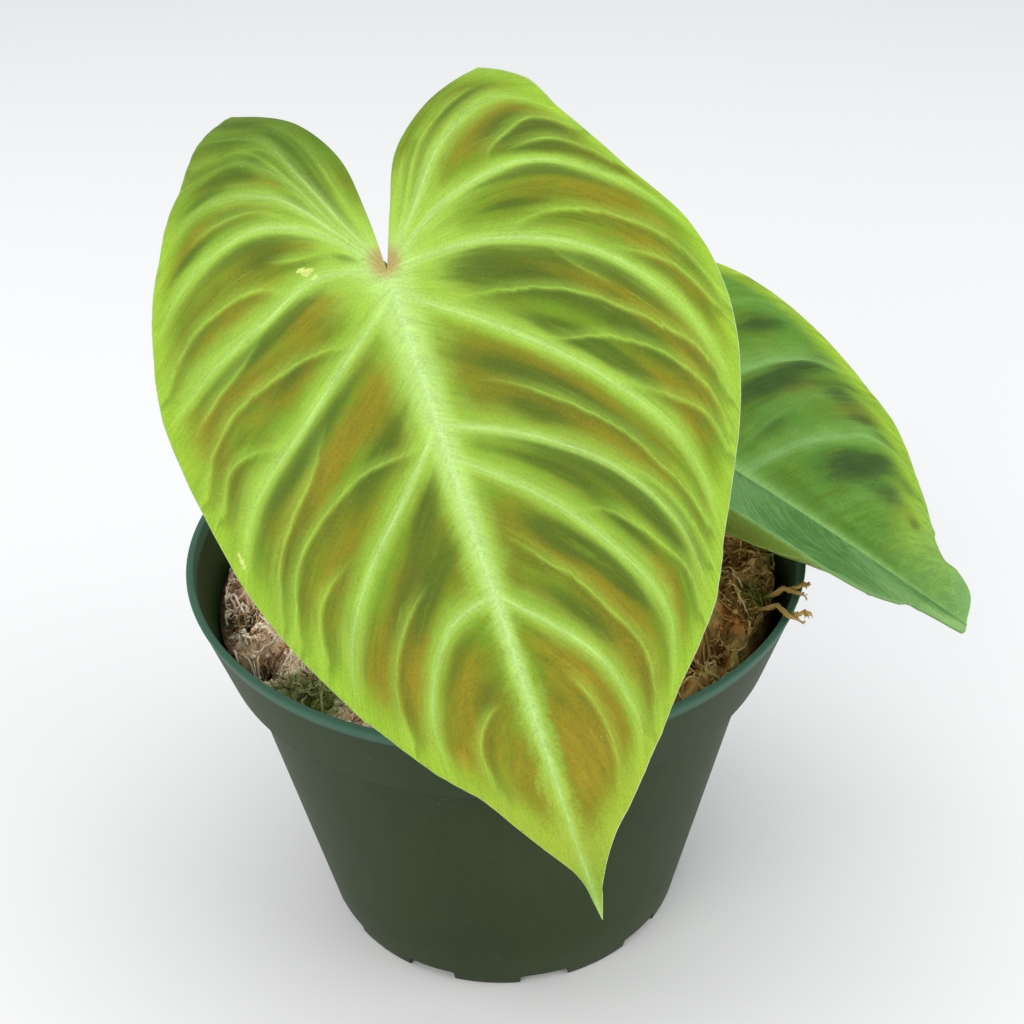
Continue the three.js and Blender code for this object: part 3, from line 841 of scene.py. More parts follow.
@dataclass
class Pot:
    """Moulded nursery pot: tapered wall, flared collar with a rolled lip, slots round the foot. Millimetres."""

    height: float = 117.0
    rim_radius: float = 82.5
    collar_radius: float = 75.4
    collar_bottom: float = 92.8
    body_radius: float = 71.2
    base_radius: float = 52.0
    wall: float = 1.5
    floor: float = 1.6
    lip: float = 2.0
    lip_depth: float = 3.2
    slot_count: int = 10
    slot_first_deg: float = -78.0
    slot_width: float = 14.0
    slot_height: float = 3.6
    slot_depth: float = 7.0
    slot_rounding: float = 0.9
    sides: int = 180

    def outer_radius(self, z: float) -> float:
        """Returns the collar's outer radius at a height."""
        up = (z - self.collar_bottom) / (self.height - self.collar_bottom)
        return self.collar_radius + up * (self.rim_radius - self.collar_radius)

    def profile(self) -> list[Point2]:
        """Lays out the wall's section.

        Returns:
            Radii and heights, from the middle outside to the middle inside.
        """
        top, ledge, floor = self.height, self.collar_bottom, self.floor
        lip_bottom, shoulder = top - self.lip_depth, ledge + self.wall
        foot, body, collar, rim = self.base_radius, self.body_radius, self.collar_radius, self.rim_radius
        mouth, base_in, body_in = rim - self.lip, foot - self.wall, body - self.wall
        return [
            (0.0, 0.0), (foot - 1.2, 0.0), (foot - 0.4, 0.25), (foot, 1.0), (foot + 0.75, 4.5),
            (body - 0.7, ledge - 4.0), (body, ledge - 1.0), (body + 0.35, ledge - 0.25), (body + 1.0, ledge),
            (collar - 0.6, ledge), (collar - 0.15, ledge + 0.15), (collar, ledge + 0.6),
            (self.outer_radius(lip_bottom - 1.0), lip_bottom - 1.0), (self.outer_radius(lip_bottom) + 0.05, lip_bottom),
            (rim - 0.15, top - 1.2), (rim, top - 0.65), (rim - 0.18, top - 0.18), (rim - 0.6, top),
            (mouth + 0.6, top), (mouth + 0.18, top - 0.18), (mouth, top - 0.6), (mouth - 0.05, lip_bottom + 1.0),
            (self.outer_radius(lip_bottom) - self.wall, lip_bottom - 0.4),
            (self.outer_radius(shoulder) - self.wall, shoulder), (body_in, shoulder - 1.0),
            (body_in - 0.8, shoulder - 5.0), (base_in + 0.4, floor + 2.0), (base_in - 0.3, floor + 0.5),
            (base_in - 2.0, floor), (0.0, floor),
        ]

    def slots(self) -> bpy.types.Mesh:
        """Makes the blocks that cut the drain slots, with softened corners.

        Returns:
            Their mesh, in metres.
        """
        bm = bmesh.new()
        size = Matrix.Diagonal((2 * self.slot_depth * MM, self.slot_width * MM, 2 * self.slot_height * MM, 1.0))
        for i in range(self.slot_count):
            turn = Matrix.Rotation(math.radians(self.slot_first_deg + i * 360.0 / self.slot_count), 4, "Z")
            place = turn @ Matrix.Translation((self.base_radius * MM, 0.0, 0.0)) @ size
            bmesh.ops.create_cube(bm, size=1.0, matrix=place)
        upright = [e for e in bm.edges if abs(e.verts[0].co.z) > MM and e.verts[0].co.z * e.verts[1].co.z > 0]
        bmesh.ops.bevel(
            bm, geom=upright, offset=self.slot_rounding * MM, offset_type="OFFSET", affect="EDGES", segments=3,
            profile=0.5, material=-1,
        )
        return mesh_of("pot_slots", bm, Shading.CREASED)

    def build(self) -> bpy.types.Object:
        """Cuts the slots into the spun wall.

        Returns:
            The finished pot.
        """
        shell = shown("pot_shell", mesh_of("pot_shell", spun(self.profile(), self.sides), Shading.CREASED))
        cutter = shown("pot_slots", self.slots())
        cut = shell.modifiers.new("slots", "BOOLEAN")
        cut.operation = "DIFFERENCE"
        cut.solver = "EXACT"
        cut.object = cutter
        mesh = applied(shell)
        bpy.data.objects.remove(cutter)
        mesh.name = "nursery_pot"
        mesh.materials.clear()
        pot = as_piece("nursery_pot", mesh, "pot_plastic", MouldedPlastic().material("moulded_green_plastic"))
        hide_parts("pot")
        return pot


# Moss


def smooth_rise(values: "np.ndarray | float", low: float, high: float) -> "np.ndarray | float":
    """Returns 0 below low, 1 above high and a smooth rise between them."""
    t = np.clip((values - low) / (high - low), 0.0, 1.0)
    return t * t * (3 - 2 * t)


@dataclass
class Moss:
    """Long-fibre moss: a lumpy bed, loose crumbs, leafy strands and two of them hooked over the rim. Millimetres."""

    level: float = 108.0
    edge_radius: float = 75.6
    edge_z: float = 101.0
    foot_radius: float = 50.0
    foot_z: float = 2.1
    shoulder_radius: float = 69.2
    shoulder_z: float = 95.0
    rings: int = 96
    sides: int = 360
    hole: Point2 = (0.0, 6.0)
    hole_radius: float = 5.0
    heap: Point2 = (62, -27)
    heap_height: float = 6.5
    hollows: tuple[Point3, ...] = ((-58.0, -36.0, 4.5), (54.0, -40.5, 5.0), (-67.0, 3.0, 4.0), (64.0, -14.0, 4.0))
    hollow_depth: float = 6.5
    strand_count: int = 1900
    strand_length: Point2 = (4, 17)
    strand_radius: Point2 = (0.13, 0.4)
    leafy_count: int = 600
    leafy_length: Point2 = (5, 12)
    leafy_radius: Point2 = (0.28, 0.5)
    leaflets_each: int = 18
    leaflet_length: Point2 = (1.0, 2.5)
    leaflet_radius: Point2 = (0.16, 0.38)
    hook_leaflets: int = 44
    hook_radius: float = 0.75
    hook_height: float = 117.6
    crumb_count: int = 1000
    crumb_size: Point2 = (0.4, 1.2)
    crumb_dents: float = 0.45
    outward: float = 0.42
    seed: int = 7

    STRAND_POINTS = 9

    def height(self, x: float, y: float) -> float:
        """Works out the heaped surface, the same form as the solid's.

        Args:
            x: Millimetres to the right of the pot's axis.
            y: Millimetres behind it.

        Returns:
            Its height.
        """
        heap = self.heap_height * math.exp(-((x - self.heap[0]) ** 2 + (y - self.heap[1]) ** 2) / 420)
        mounds = 1.7 * math.sin(0.17 * x + 1) * math.cos(0.15 * y + 0.4) + 1.1 * math.sin(0.31 * x - 0.27 * y + 2)
        tufts = 0.8 * math.sin(0.62 * x + 0.5 * y) * math.sin(0.55 * y - 0.4 * x + 1)
        return self.level + 0.03 * x + heap + mounds + tufts

    def reach(self, x: float, y: float) -> float:
        """Works out how far the bed reaches towards a place.

        Args:
            x: Millimetres to the right of the pot's axis.
            y: Millimetres behind it.

        Returns:
            The bed's radius in that direction.
        """
        angle = math.atan2(y, x)
        waves = 0.8 * math.sin(3 * angle + 0.6) + 0.5 * math.sin(7 * angle + 2) + 0.4 * math.sin(13 * angle)
        return self.edge_radius - 0.9 + waves * 0.7

    def surface(self, x: float, y: float) -> float:
        """Works out the bed's top, which falls off in a rounded edge at the wall and dips round the stem.

        Args:
            x: Millimetres to the right of the pot's axis.
            y: Millimetres behind it.

        Returns:
            Its height.
        """
        inward = max(self.reach(x, y) - math.hypot(x, y), 0.0)
        from_stem = math.hypot(x - self.hole[0], y - self.hole[1])
        dip = 3.0 * math.exp(-((from_stem / 7.0) ** 2))
        for east, north, radius in self.hollows:
            dip += self.hollow_depth * math.exp(-((x - east) ** 2 + (y - north) ** 2) / radius ** 2)
        return self.height(x, y) - 3.6 * math.exp(-inward / 2.2) - 0.6 - dip

    @staticmethod
    def crumb(x: float, y: float) -> float:
        """Works out the relief of the bed: clumps with gaps between them, lumps on the clumps, and grit.

        Args:
            x: Millimetres to the right of the pot's axis.
            y: Millimetres behind it.

        Returns:
            How far it stands above the surface.
        """
        place = Vector((x, y, 0.0))
        bent = place + Vector((noise.noise(place * 0.3), noise.noise(place * 0.3 + Vector((7, 1, 3))), 0.0)) * 2.2
        clump, lump = (noise.voronoi(bent * scale)[0][0] for scale in (0.17, 0.5))
        return (0.45 - clump) * 4.6 + (0.45 - lump) * 1.8 + noise.noise(place * 2.1 + Vector((4, 7, 2))) * 0.6

    def bed(self) -> bpy.types.Object:
        """Spins the bed as a plug that fits the pot, roughens it on top and paints shade into its low places.

        Returns:
            The bed.
        """
        top = [(self.edge_radius * (1 - i / self.rings), self.level) for i in range(self.rings)]
        bm = spun([
            (0.0, self.foot_z), (self.foot_radius - 2.4, self.foot_z), (self.foot_radius + 0.4, self.foot_z + 2.8),
            (self.shoulder_radius, self.shoulder_z), (self.edge_radius - 1.4, self.edge_z - 2.5),
            (self.edge_radius - 0.3, self.edge_z), *top, (0.0, self.level),
        ], self.sides)
        layer = bm.verts.layers.float.new("shade")
        for vert in bm.verts:
            x, y, z = (value / MM for value in vert.co)
            if z > self.level - 0.1:
                pull = self.reach(x, y) / self.edge_radius
                ragged = noise.voronoi(Vector((x, y, 0.0)) * 0.33)[0][0] * smooth_rise(math.hypot(x, y), 66.0, 75.0)
                x, y = x * pull * (1 - 0.04 * ragged), y * pull * (1 - 0.04 * ragged)
                relief = self.crumb(x, y)
                vert.co = (x * MM, y * MM, (self.surface(x, y) + relief - 0.4) * MM)
                # painted shade: lower places between the clumps get a darker shade
                vert[layer] = min(max(0.42 + relief * 0.24, 0.0), 1.0)
        # 0.9: the bed is drawn a little darker, painted shade in the gaps between the strands
        skin = MossFibre(0.9).material("moss_bed_crumb")
        return as_piece("moss_bed", mesh_of("moss_bed", bm), "moss", skin)

    def crumbs(self) -> bpy.types.Object:
        """Strews small dented lumps over the bed, flattened and turned all ways.

        Returns:
            The loose crumbs, as one piece.
        """
        rng = random.Random(self.seed + 1)
        noise.seed_set(self.seed + 1)
        bm = bmesh.new()
        layer = bm.verts.layers.float.new("shade")
        for _ in range(self.crumb_count):
            angle, reach = math.tau * rng.random(), (self.edge_radius - 2.2) * rng.random() ** self.outward
            x, y = around(reach, angle)
            flattened = (1.0, rng.uniform(0.5, 0.9), rng.uniform(0.35, 0.6))
            size = [rng.uniform(*self.crumb_size) * part for part in flattened]
            turn = Matrix.Rotation(rng.uniform(0, math.tau), 4, "Z") @ Matrix.Rotation(rng.uniform(-0.7, 0.7), 4, "X")
            shade = rng.random()
            if not self.inside(x, y, 2.2):
                continue
            height = self.surface(x, y) + self.crumb(x, y) * 0.7 + rng.uniform(-0.2, 1.2)
            place = Matrix.Translation(Vector((x, y, height)) * MM)
            matrix = place @ turn @ Matrix.Diagonal((*(part * MM for part in size), 1.0))
            for vert in bmesh.ops.create_icosphere(bm, subdivisions=1, radius=1.0, matrix=matrix)["verts"]:
                vert[layer] = shade
                vert.co += noise.noise_vector(vert.co * 900.0) * (self.crumb_dents * MM)
        bmesh.ops.recalc_face_normals(bm, faces=bm.faces)
        return as_piece("moss_crumbs", mesh_of("moss_crumbs", bm), "moss", MossFibre().material("moss_lump"))

    def inside(self, x: float, y: float, margin: float) -> bool:
        """Tells whether a place is on the bed, and clear of the stem."""
        clear = math.hypot(x - self.hole[0], y - self.hole[1]) > self.hole_radius + margin
        return clear and math.hypot(x, y) < self.reach(x, y) - margin

    def strands(self) -> list[bpy.types.Object]:
        """Lays the long strands, and the leaflets that some of them carry.

        Returns:
            The strands and the leaflets.
        """
        rng = random.Random(self.seed)
        strands, leaflets = Tuft("moss_strands"), Tuft("moss_leaflets")
        laid = 0
        while laid < self.strand_count + self.leafy_count:
            angle, reach = math.tau * rng.random(), self.edge_radius * rng.random() ** self.outward
            leafy = laid >= self.strand_count
            course = self.course(rng, *around(reach, angle), leafy)
            if not course:
                continue
            laid += 1
            shade = rng.random()
            radius = self.leafy_radius if leafy else self.strand_radius
            self.add_strand(rng, strands, course, rng.uniform(*radius), shade)
            for _ in range(self.leaflets_each if leafy else 0):
                self.add_leaflet(rng, leaflets, course, shade, 1.0)
        for k, hook in enumerate(self.hooks()):
            self.add_strand(rng, strands, hook, self.hook_radius, 0.36)
            for _ in range(self.hook_leaflets // (1 + k % 2)):
                self.add_leaflet(rng, leaflets, hook, 0.3, 0.62)
        fibre = MossFibre().material("moss_fibre")
        return [tuft.build("moss", fibre) for tuft in (strands, leaflets)]

    def course(self, rng: random.Random, x: float, y: float, leafy: bool) -> list[Vector] | None:
        """Lays out one strand on the bed.

        Args:
            rng: The seeded random stream.
            x: Where its middle lies.
            y: Where its middle lies.
            leafy: True for a stouter, shorter strand that carries leaflets.

        Returns:
            Nine points in millimetres, or None where it would leave the bed.
        """
        length = rng.uniform(*(self.leafy_length if leafy else self.strand_length))
        combed = noise.noise(Vector((x * 0.07, y * 0.07, 3.0))) * 7.0
        heading, bend, lift = combed + rng.uniform(-1.0, 1.0), rng.uniform(-2.2, 2.2), rng.uniform(-0.3, 1.2)
        away = math.hypot(x, y)
        if away > self.edge_radius - 5.0:
            lift -= rng.uniform(0.0, 2.6)
        ripple, phase = rng.uniform(0.2, 1.0), rng.uniform(0, math.tau)
        course = []
        for along in np.linspace(-0.5, 0.5, self.STRAND_POINTS).tolist():
            turn = heading + bend * along
            sway = ripple * math.sin(9 * along + phase)
            px = x + along * length * math.cos(turn) + sway * math.sin(turn)
            py = y + along * length * math.sin(turn) - sway * math.cos(turn)
            limit = self.reach(px, py) - 0.35
            if away > limit * 0.9 and math.hypot(px, py) > limit:
                px, py = px * limit / math.hypot(px, py), py * limit / math.hypot(px, py)
            if not self.inside(px, py, 0.3):
                return None
            clump = self.crumb(px, py) * 0.65
            rise = lift + clump + 1.0 * math.cos(math.pi * along) + 0.7 * math.sin(7 * along + phase) - 0.6
            course.append(Vector((px, py, self.surface(px, py) + rise)))
        return course

    def hooks(self) -> list[list[Vector]]:
        """Lays out the two dry strands that hook over the rim at the right, and the fork at the tip of each.

        Each is given as five radii, angles in degrees and heights.

        Returns:
            Nine points for each.
        """
        hooks = []
        for keys in (
            ((71, 75.2, 78.2, 82.2, 84.6), (-19.4, -20.2, -20.7, -20.9, -21.2), (111.6, 115.4, 118.5, 118.9, 117.6)),
            ((79.5, 81.5, 82.8, 83.6, 84.3), (-20.8, -20.2, -19.7, -19.3, -19.1), (118.7, 119.6, 120.1, 120, 119.5)),
            ((70, 75, 78.4, 82.6, 87.2), (-23.2, -24.2, -26, -27.8, -28.4), (111, 115, 118.4, 118.9, 117.6)),
            ((83, 84.6, 86, 87, 87.8), (-27.9, -27.5, -27, -26.7, -26.6), (118.9, 119.4, 119.8, 119.6, 119.1)),
        ):
            steps = np.arange(self.STRAND_POINTS)
            radii, angles, heights = (np.interp(steps / 2, range(5), column) for column in keys)
            turns = np.radians(angles + 0.4 * np.sin(steps * 1.9))
            places = np.stack([radii * np.cos(turns), radii * np.sin(turns), heights], axis=-1)
            hooks.append([Vector(place) for place in places])
        return hooks

    @staticmethod
    def add_strand(rng: random.Random, tuft: Tuft, course: list[Vector], thick: float, shade: float) -> None:
        """Adds a strand along a course, thin at both ends."""
        shape = (0.0, 0.7, 0.95, 1.05, 1.0, 1.05, 0.9, 0.65, 0.0)
        tuft.add(course, [thick * part * rng.uniform(0.8, 1.2) for part in shape], shade)

    def add_leaflet(self, rng: random.Random, tuft: Tuft, course: list[Vector], shade: float, scale: float) -> None:
        """Adds one small pointed leaflet that leans forward off a strand.

        Args:
            rng: The seeded random stream.
            tuft: The leaflets.
            course: The strand that carries it.
            shade: The strand's shade.
            scale: How long it is against the usual.
        """
        place = rng.uniform(0.3, len(course) - 1.05)
        i = int(place)
        start = course[i].lerp(course[i + 1], place - i)
        along = (course[i + 1] - course[i]).normalized()
        side = sideways(rng, along)
        length = rng.uniform(*self.leaflet_length) * scale
        lean = (side + along * rng.uniform(0.1, 1.2)).normalized()
        sag = Vector((0, 0, -0.22 * length))
        end = start + lean * length + sag
        thick = rng.uniform(*self.leaflet_radius) * scale
        tone = min(max(shade + rng.uniform(-0.35, 0.35), 0.0), 1.0)
        if math.hypot(end.x, end.y) < self.reach(end.x, end.y) - 0.2 or end.z > self.hook_height:
            middle = (start + lean * length * 0.35, start + lean * length * 0.75 + sag * 0.3)
            tuft.add([start, *middle, end], [0.0, thick, thick * 0.8, 0.0], tone)

    def build(self) -> list[bpy.types.Object]:
        """Makes all that stands for the moss.

        Returns:
            The bed, the crumbs, the strands and the leaflets.
        """
        bed = self.bed()
        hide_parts("sphagnum_moss")
        return [bed, self.crumbs(), *self.strands()]


# Stalks


def spline_row(a: Vector, b: Vector, c: Vector, d: Vector, w: "float | np.ndarray") -> "Vector | np.ndarray":
    """Returns the place at a share w of the way from b to c, on a smooth course that also passes a and d."""
    first, second = (c - a) * 0.5, (d - b) * 0.5
    return (2 * b - 2 * c + first + second) * w ** 3 + (3 * c - 3 * b - 2 * first - second) * w * w + first * w + b


def smooth_course(points: list[Vector], per_span: int) -> list[Vector]:
    """Draws a smooth course through points.

    Args:
        points: The points it passes through.
        per_span: How many steps it takes from one to the next.

    Returns:
        The finer points, first and last included.
    """
    ends = [points[0], *points, points[-1]]
    course = [
        spline_row(*ends[i - 1:i + 3], k / per_span) for i in range(1, len(ends) - 2) for k in range(per_span)
    ]
    return [*course, points[-1].copy()]


def even_steps(course: list[Vector], count: int) -> list[Vector]:
    """Spreads points evenly along a course.

    Args:
        course: The course.
        count: How many steps it is cut into.

    Returns:
        The ends of the steps, one more than count.
    """
    lengths = [0.0]
    for a, b in zip(course, course[1:]):
        lengths.append(lengths[-1] + (b - a).length)
    at = np.linspace(0.0, lengths[-1], count + 1)
    columns = [np.interp(at, lengths, [point[axis] for point in course]) for axis in range(3)]
    return [Vector(values) for values in zip(*columns)]


def heading_at(course: list[Vector], i: int) -> Vector:
    """Returns the direction of a course at one of its points."""
    return (course[min(i + 1, len(course) - 1)] - course[max(i - 1, 0)]).normalized()


def radii_along(profile: tuple[Point2, ...], count: int) -> list[float]:
    """Returns the radii of count points, from a profile of shares of the length and radii."""
    shares, radii = zip(*profile)
    return [float(np.interp(i / (count - 1), shares, radii)) for i in range(count)]


def swept(name: str, course: list[Vector], radii: list[float], sides: int) -> bpy.types.Mesh:
    """Draws a ring along a course.

    Args:
        name: The mesh's name.
        course: The middle of the body in millimetres.
        radii: Its radius at each point in millimetres.
        sides: How many sides the ring has.

    Returns:
        The closed body, in metres.
    """
    normal = Vector((1.0, 0.2, 0.1))
    places = []
    for i, (middle, radius) in enumerate(zip(course, radii)):
        ahead = heading_at(course, i)
        normal = (normal - ahead * normal.dot(ahead)).normalized()
        columns = Matrix((normal * radius * MM, ahead.cross(normal) * radius * MM, ahead * MM)).transposed()
        places.append(Matrix.Translation(middle * MM) @ columns.to_4x4())
    bm = bmesh.new()
    ring = bmesh.ops.create_circle(bm, cap_ends=True, segments=sides, radius=1.0)["verts"]
    bmesh.ops.transform(bm, matrix=places[0], verts=ring)
    edges = [edge for edge in bm.edges if len(edge.link_faces) == 1]
    for last, following in zip(places, places[1:]):
        made = bmesh.ops.extrude_edge_only(bm, edges=edges)["geom"]
        ring = [item for item in made if isinstance(item, bmesh.types.BMVert)]
        edges = [item for item in made if isinstance(item, bmesh.types.BMEdge) and all(v in ring for v in item.verts)]
        bmesh.ops.transform(bm, matrix=following @ last.inverted(), verts=ring)
    bmesh.ops.contextual_create(bm, geom=edges)
    bmesh.ops.recalc_face_normals(bm, faces=bm.faces)
    return mesh_of(name, bm)


@dataclass
class Stem:
    """Short stem with leaf scars and the rolled sheath of the next leaf at its top. Millimetres."""

    through: tuple[Point3, ...] = ((0, 6, 62), (0, 6, 85), (0, 6, 106), (-0.5, 5.4, 122), (-3, 3, 142))
    profile: tuple[Point2, ...] = (
        (0, 3.6), (0.02, 4.2), (0.3, 4.3), (0.55, 4.3), (0.585, 4.35), (0.6, 4.5), (0.612, 4.35), (0.63, 4.1),
        (0.68, 4.1), (0.7, 4.3), (0.71, 4.4), (0.722, 4.2), (0.74, 3.9), (0.8, 3.6), (0.87, 2.9), (0.94, 1.9),
        (0.985, 0.8), (1.0, 0.25),
    )
    sheath_from: float = 126.0
    sheath_full: float = 138.0

    def course(self) -> list[Vector]:
        """Returns the stem's middle as even steps."""
        return even_steps(smooth_course([Vector(point) for point in self.through], 24), 110)

    def build(self) -> bpy.types.Object:
        """Sweeps the stem with its scars and sheath.

        Returns:
            The stem.
        """
        course = self.course()
        mesh = swept("stem_and_sheath", course, radii_along(self.profile, len(course)), 36)
        skin = StalkSkin(
            ground=(0.13, 0.19, 0.035), streak=(0.22, 0.27, 0.06), joint=(0.3, 0.36, 0.1),
            joint_low=self.sheath_from * MM, joint_high=self.sheath_full * MM,
        )
        stem = as_piece("stem_and_sheath", mesh, "stem_skin", skin.material("stem_skin"))
        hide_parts("stem")
        return stem


@dataclass
class Petiole:
    """Leaf stalk with a swollen foot, a bend under the blade, and soft bristles. Millimetres."""

    name: str
    node: str
    foot_z: float
    foot_turn_deg: float
    stem_radius: float
    through: tuple[Point3, ...]
    radius: float
    bristle_count: int
    seed: int
    seat_gap: float = 0.3
    joint_height: float = 12.0
    bristle_length: Point2 = (0.7, 2.0)
    bristle_radius: Point2 = (0.09, 0.17)

    FOOT = ((0.0, 0.0), (2.8, 0.1), (6.2, 2.6), (8.4, 8.0))
    UNDER_BLADE = (11.6, 2.6, 0.0)
    PROFILE = (
        (0, 1.15), (0.02, 1.25), (0.09, 1.1), (0.2, 1.0), (0.32, 0.95), (0.44, 0.92), (0.55, 0.9), (0.65, 0.88),
        (0.74, 0.87), (0.82, 0.9), (0.87, 1.05), (0.91, 1.1), (0.95, 1.0), (0.98, 0.85), (1.0, 0.4),
    )

    def course(self, stem: list[Vector], leaf: "Leaf") -> list[Vector]:
        """Lays the stalk from the stem's side through the midrib's root to the blade.

        Args:
            stem: The stem's middle.
            leaf: The leaf that the stalk carries.

        Returns:
            The stalk's middle as even steps.
        """
        axis = next(point for point in stem if point.z >= self.foot_z)
        turn = math.radians(self.foot_turn_deg)
        out_x, out_y = around(self.stem_radius + self.seat_gap, turn)
        foot = Vector((axis.x + out_x, axis.y + out_y, self.foot_z))
        start = [foot + Vector((*around(out, turn), up)) for out, up in self.FOOT]
        blade = leaf.thickness / leaf.scale
        ends = [leaf.place(0.0, -2.2, -(blade + below)) for below in self.UNDER_BLADE]
        return even_steps(smooth_course([*start, *(Vector(point) for point in self.through), *ends], 16), 130)

    def bristles(self, course: list[Vector], radii: list[float]) -> bpy.types.Object:
        """Makes the bristles, which stand off the stalk and point up along it.

        Args:
            course: The stalk's middle.
            radii: Its radius at each point.

        Returns:
            The bristles, as one piece.
        """
        rng = random.Random(self.seed)
        tuft = Tuft(f"{self.name}_bristles")
        last = len(course) - 1
        for _ in range(self.bristle_count):
            i = rng.randint(int(0.1 * last), int(0.93 * last))
            ahead = heading_at(course, i)
            side = sideways(rng, ahead)
            lean = (side + ahead * rng.uniform(0.0, 0.7)).normalized()
            length = rng.uniform(*self.bristle_length)
            root = course[i] + side * radii[i] * 0.9
            tip = root + lean * (length + radii[i] * 0.1) + ahead * 0.2 * length
            points = [root, root.lerp(tip, 0.3) + side * 0.08, root.lerp(tip, 0.7) + side * 0.08, tip]
            thick = rng.uniform(*self.bristle_radius)
            tuft.add(points, [0.0, thick, thick * 0.6, 0.0], rng.random())
        return tuft.build("petiole_skin", BristleSkin().material(f"{tuft.name}_skin"))

    def build(self, stem: list[Vector], leaf: "Leaf") -> list[bpy.types.Object]:
        """Returns the stalk and its bristles.

        Args:
            stem: The stem's middle.
            leaf: The leaf that the stalk carries.

        Returns:
            Both pieces.
        """
        course = self.course(stem, leaf)
        radii = [self.radius * part for part in radii_along(self.PROFILE, len(course))]
        top = course[-1].z * MM
        skin = StalkSkin(
            ground=(0.2, 0.2, 0.05), streak=(0.3, 0.1, 0.05), joint=(0.32, 0.36, 0.12),
            joint_low=top - self.joint_height * MM, joint_high=top,
        )
        mesh = swept(self.name, course, radii, 24)
        stalk = as_piece(self.name, mesh, "petiole_skin", skin.material(f"{self.name}_skin"))
        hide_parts(self.node)
        return [stalk, self.bristles(course, radii)]


# Leaves


@dataclass(frozen=True)
class Vein:
    """One side vein in the leaf's own frame, in millimetres: the midrib runs down -Y from the junction at 0, 0."""

    root: float
    through: tuple[Point2, Point2, Point2]
    end: Point2
    following: Point2
    strength: float


# A soft patch on a blade: vein number, share of the way to the margin, its spread in both, and its amount
Patch = tuple[float, float, float, float, float]

RIGHT_VEINS = (
    Vein(0, ((4.7, 12.9), (10, 25.4), (20.8, 34.6)), (33, 38.8), (42, 32.4), 0),
    Vein(0, ((9.8, 11.3), (19.9, 23.4), (34, 29.7)), (47, 22), (56, 6), 0.8),
    Vein(0, ((16.7, 10.6), (36.2, 13.5), (53, 4)), (66, -11), (68.3, -30), 1),
    Vein(0, ((23, -0.6), (43.6, -9.6), (58.2, -27)), (64, -49), (58, -62.5), 1),
    Vein(-5, ((18.6, -18.8), (35, -34.3), (48, -53)), (51.5, -75), (48.2, -82.5), 1),
    Vein(-35, ((17.5, -43), (32.5, -54.7), (42.3, -71)), (44, -90), (37, -98.5), 0.7),
    Vein(-42, ((14.7, -54.5), (26.6, -69.8), (34.2, -87.3)), (30, -106), (25, -112.2), 0.9),
    Vein(-73, ((9.6, -82.7), (17.4, -93), (20.7, -105)), (20, -118), (14.5, -124.2), 0.8),
)
LEFT_VEINS = (
    Vein(0, ((-0.5, 14), (-2.6, 28.2), (-10.4, 40.2)), (-22.8, 46.6), (-27, 44.6), 0),
    Vein(0, ((-6, 12.6), (-11.4, 25), (-18, 37.5)), (-30.9, 41.9), (-34.4, 37.6), 0.55),
    Vein(0, ((-7.6, 12.6), (-14.2, 25), (-24, 34)), (-38, 32), (-42, 26.5), 0.4),
    Vein(0, ((-9, 12.6), (-18.5, 23), (-32, 26.5)), (-45.5, 20), (-50, 10.5), 0.75),
    Vein(0, ((-11.3, 12), (-25, 17.5), (-40.8, 12)), (-53, 1), (-55.3, -8.5), 1),
    Vein(0, ((-14.8, 2.8), (-28.8, -2.8), (-42.8, -9.2)), (-56, -18), (-54.6, -33), 1),
    Vein(-5, ((-14.2, -16), (-28, -27.2), (-42, -38.5)), (-50.6, -54), (-44.8, -70.5), 1),
    Vein(-35, ((-11, -47), (-22.4, -59), (-31.5, -72.5)), (-36, -88), (-33.5, -91.5), 0.8),
    Vein(-42, ((-9.5, -54.5), (-19.5, -67), (-27, -81)), (-31, -95.5), (-26, -102.7), 0),
    Vein(-73, ((-10.5, -76.5), (-17.3, -85.3), (-21, -96.5)), (-21, -109), (-16, -114.7), 0.8),
)
LEAF_LENGTH = 148.0
TIP = (0.0, -LEAF_LENGTH)
TIP_VEIN = Vein(-LEAF_LENGTH, (TIP, TIP, TIP), TIP, TIP, 0)
SLENDER_RIGHT = (
    Vein(-98, ((4, -102), (7.5, -109), (9.5, -119)), (9, -130), (5.2, -135.3), 0),
    Vein(-122, ((1.2, -125), (2.2, -130), (2.8, -135)), (2.4, -140.5), (1.9, -142.2), 0),
    Vein(-134, ((0.6, -136.5), (1, -139), (1.3, -141.5)), (1.4, -143.8), (0.7, -146), 0),
    TIP_VEIN,
)
SLENDER_LEFT = (
    Vein(-98, ((-4, -101.5), (-7.5, -107.5), (-9.5, -116)), (-9.5, -125), (-6, -130.5), 0),
    Vein(-122, ((-1.2, -124.5), (-2.2, -128), (-2.9, -131.5)), (-3, -135), (-1.8, -137.6), 0),
    Vein(-134, ((-0.3, -135.8), (-0.6, -137.4), (-0.85, -138.8)), (-1.05, -140.2), (-0.55, -144), 0),
    TIP_VEIN,
)
BROAD_RIGHT = (
    Vein(-98, ((6, -101), (11.5, -107), (14.5, -114)), (16.5, -122), (13.2, -128.5), 0.5),
    Vein(-120, ((3.5, -122), (7.5, -126), (10.5, -131)), (12.5, -136), (8.5, -145), 0.3),
    TIP_VEIN,
)
BROAD_LEFT = (
    Vein(-98, ((-4, -101.5), (-8, -107.5), (-11.5, -114)), (-13.5, -121), (-11.5, -128), 0.5),
    Vein(-120, ((-3, -122.5), (-6, -127), (-8, -133)), (-9, -138), (-6.5, -145), 0.3),
    TIP_VEIN,
)

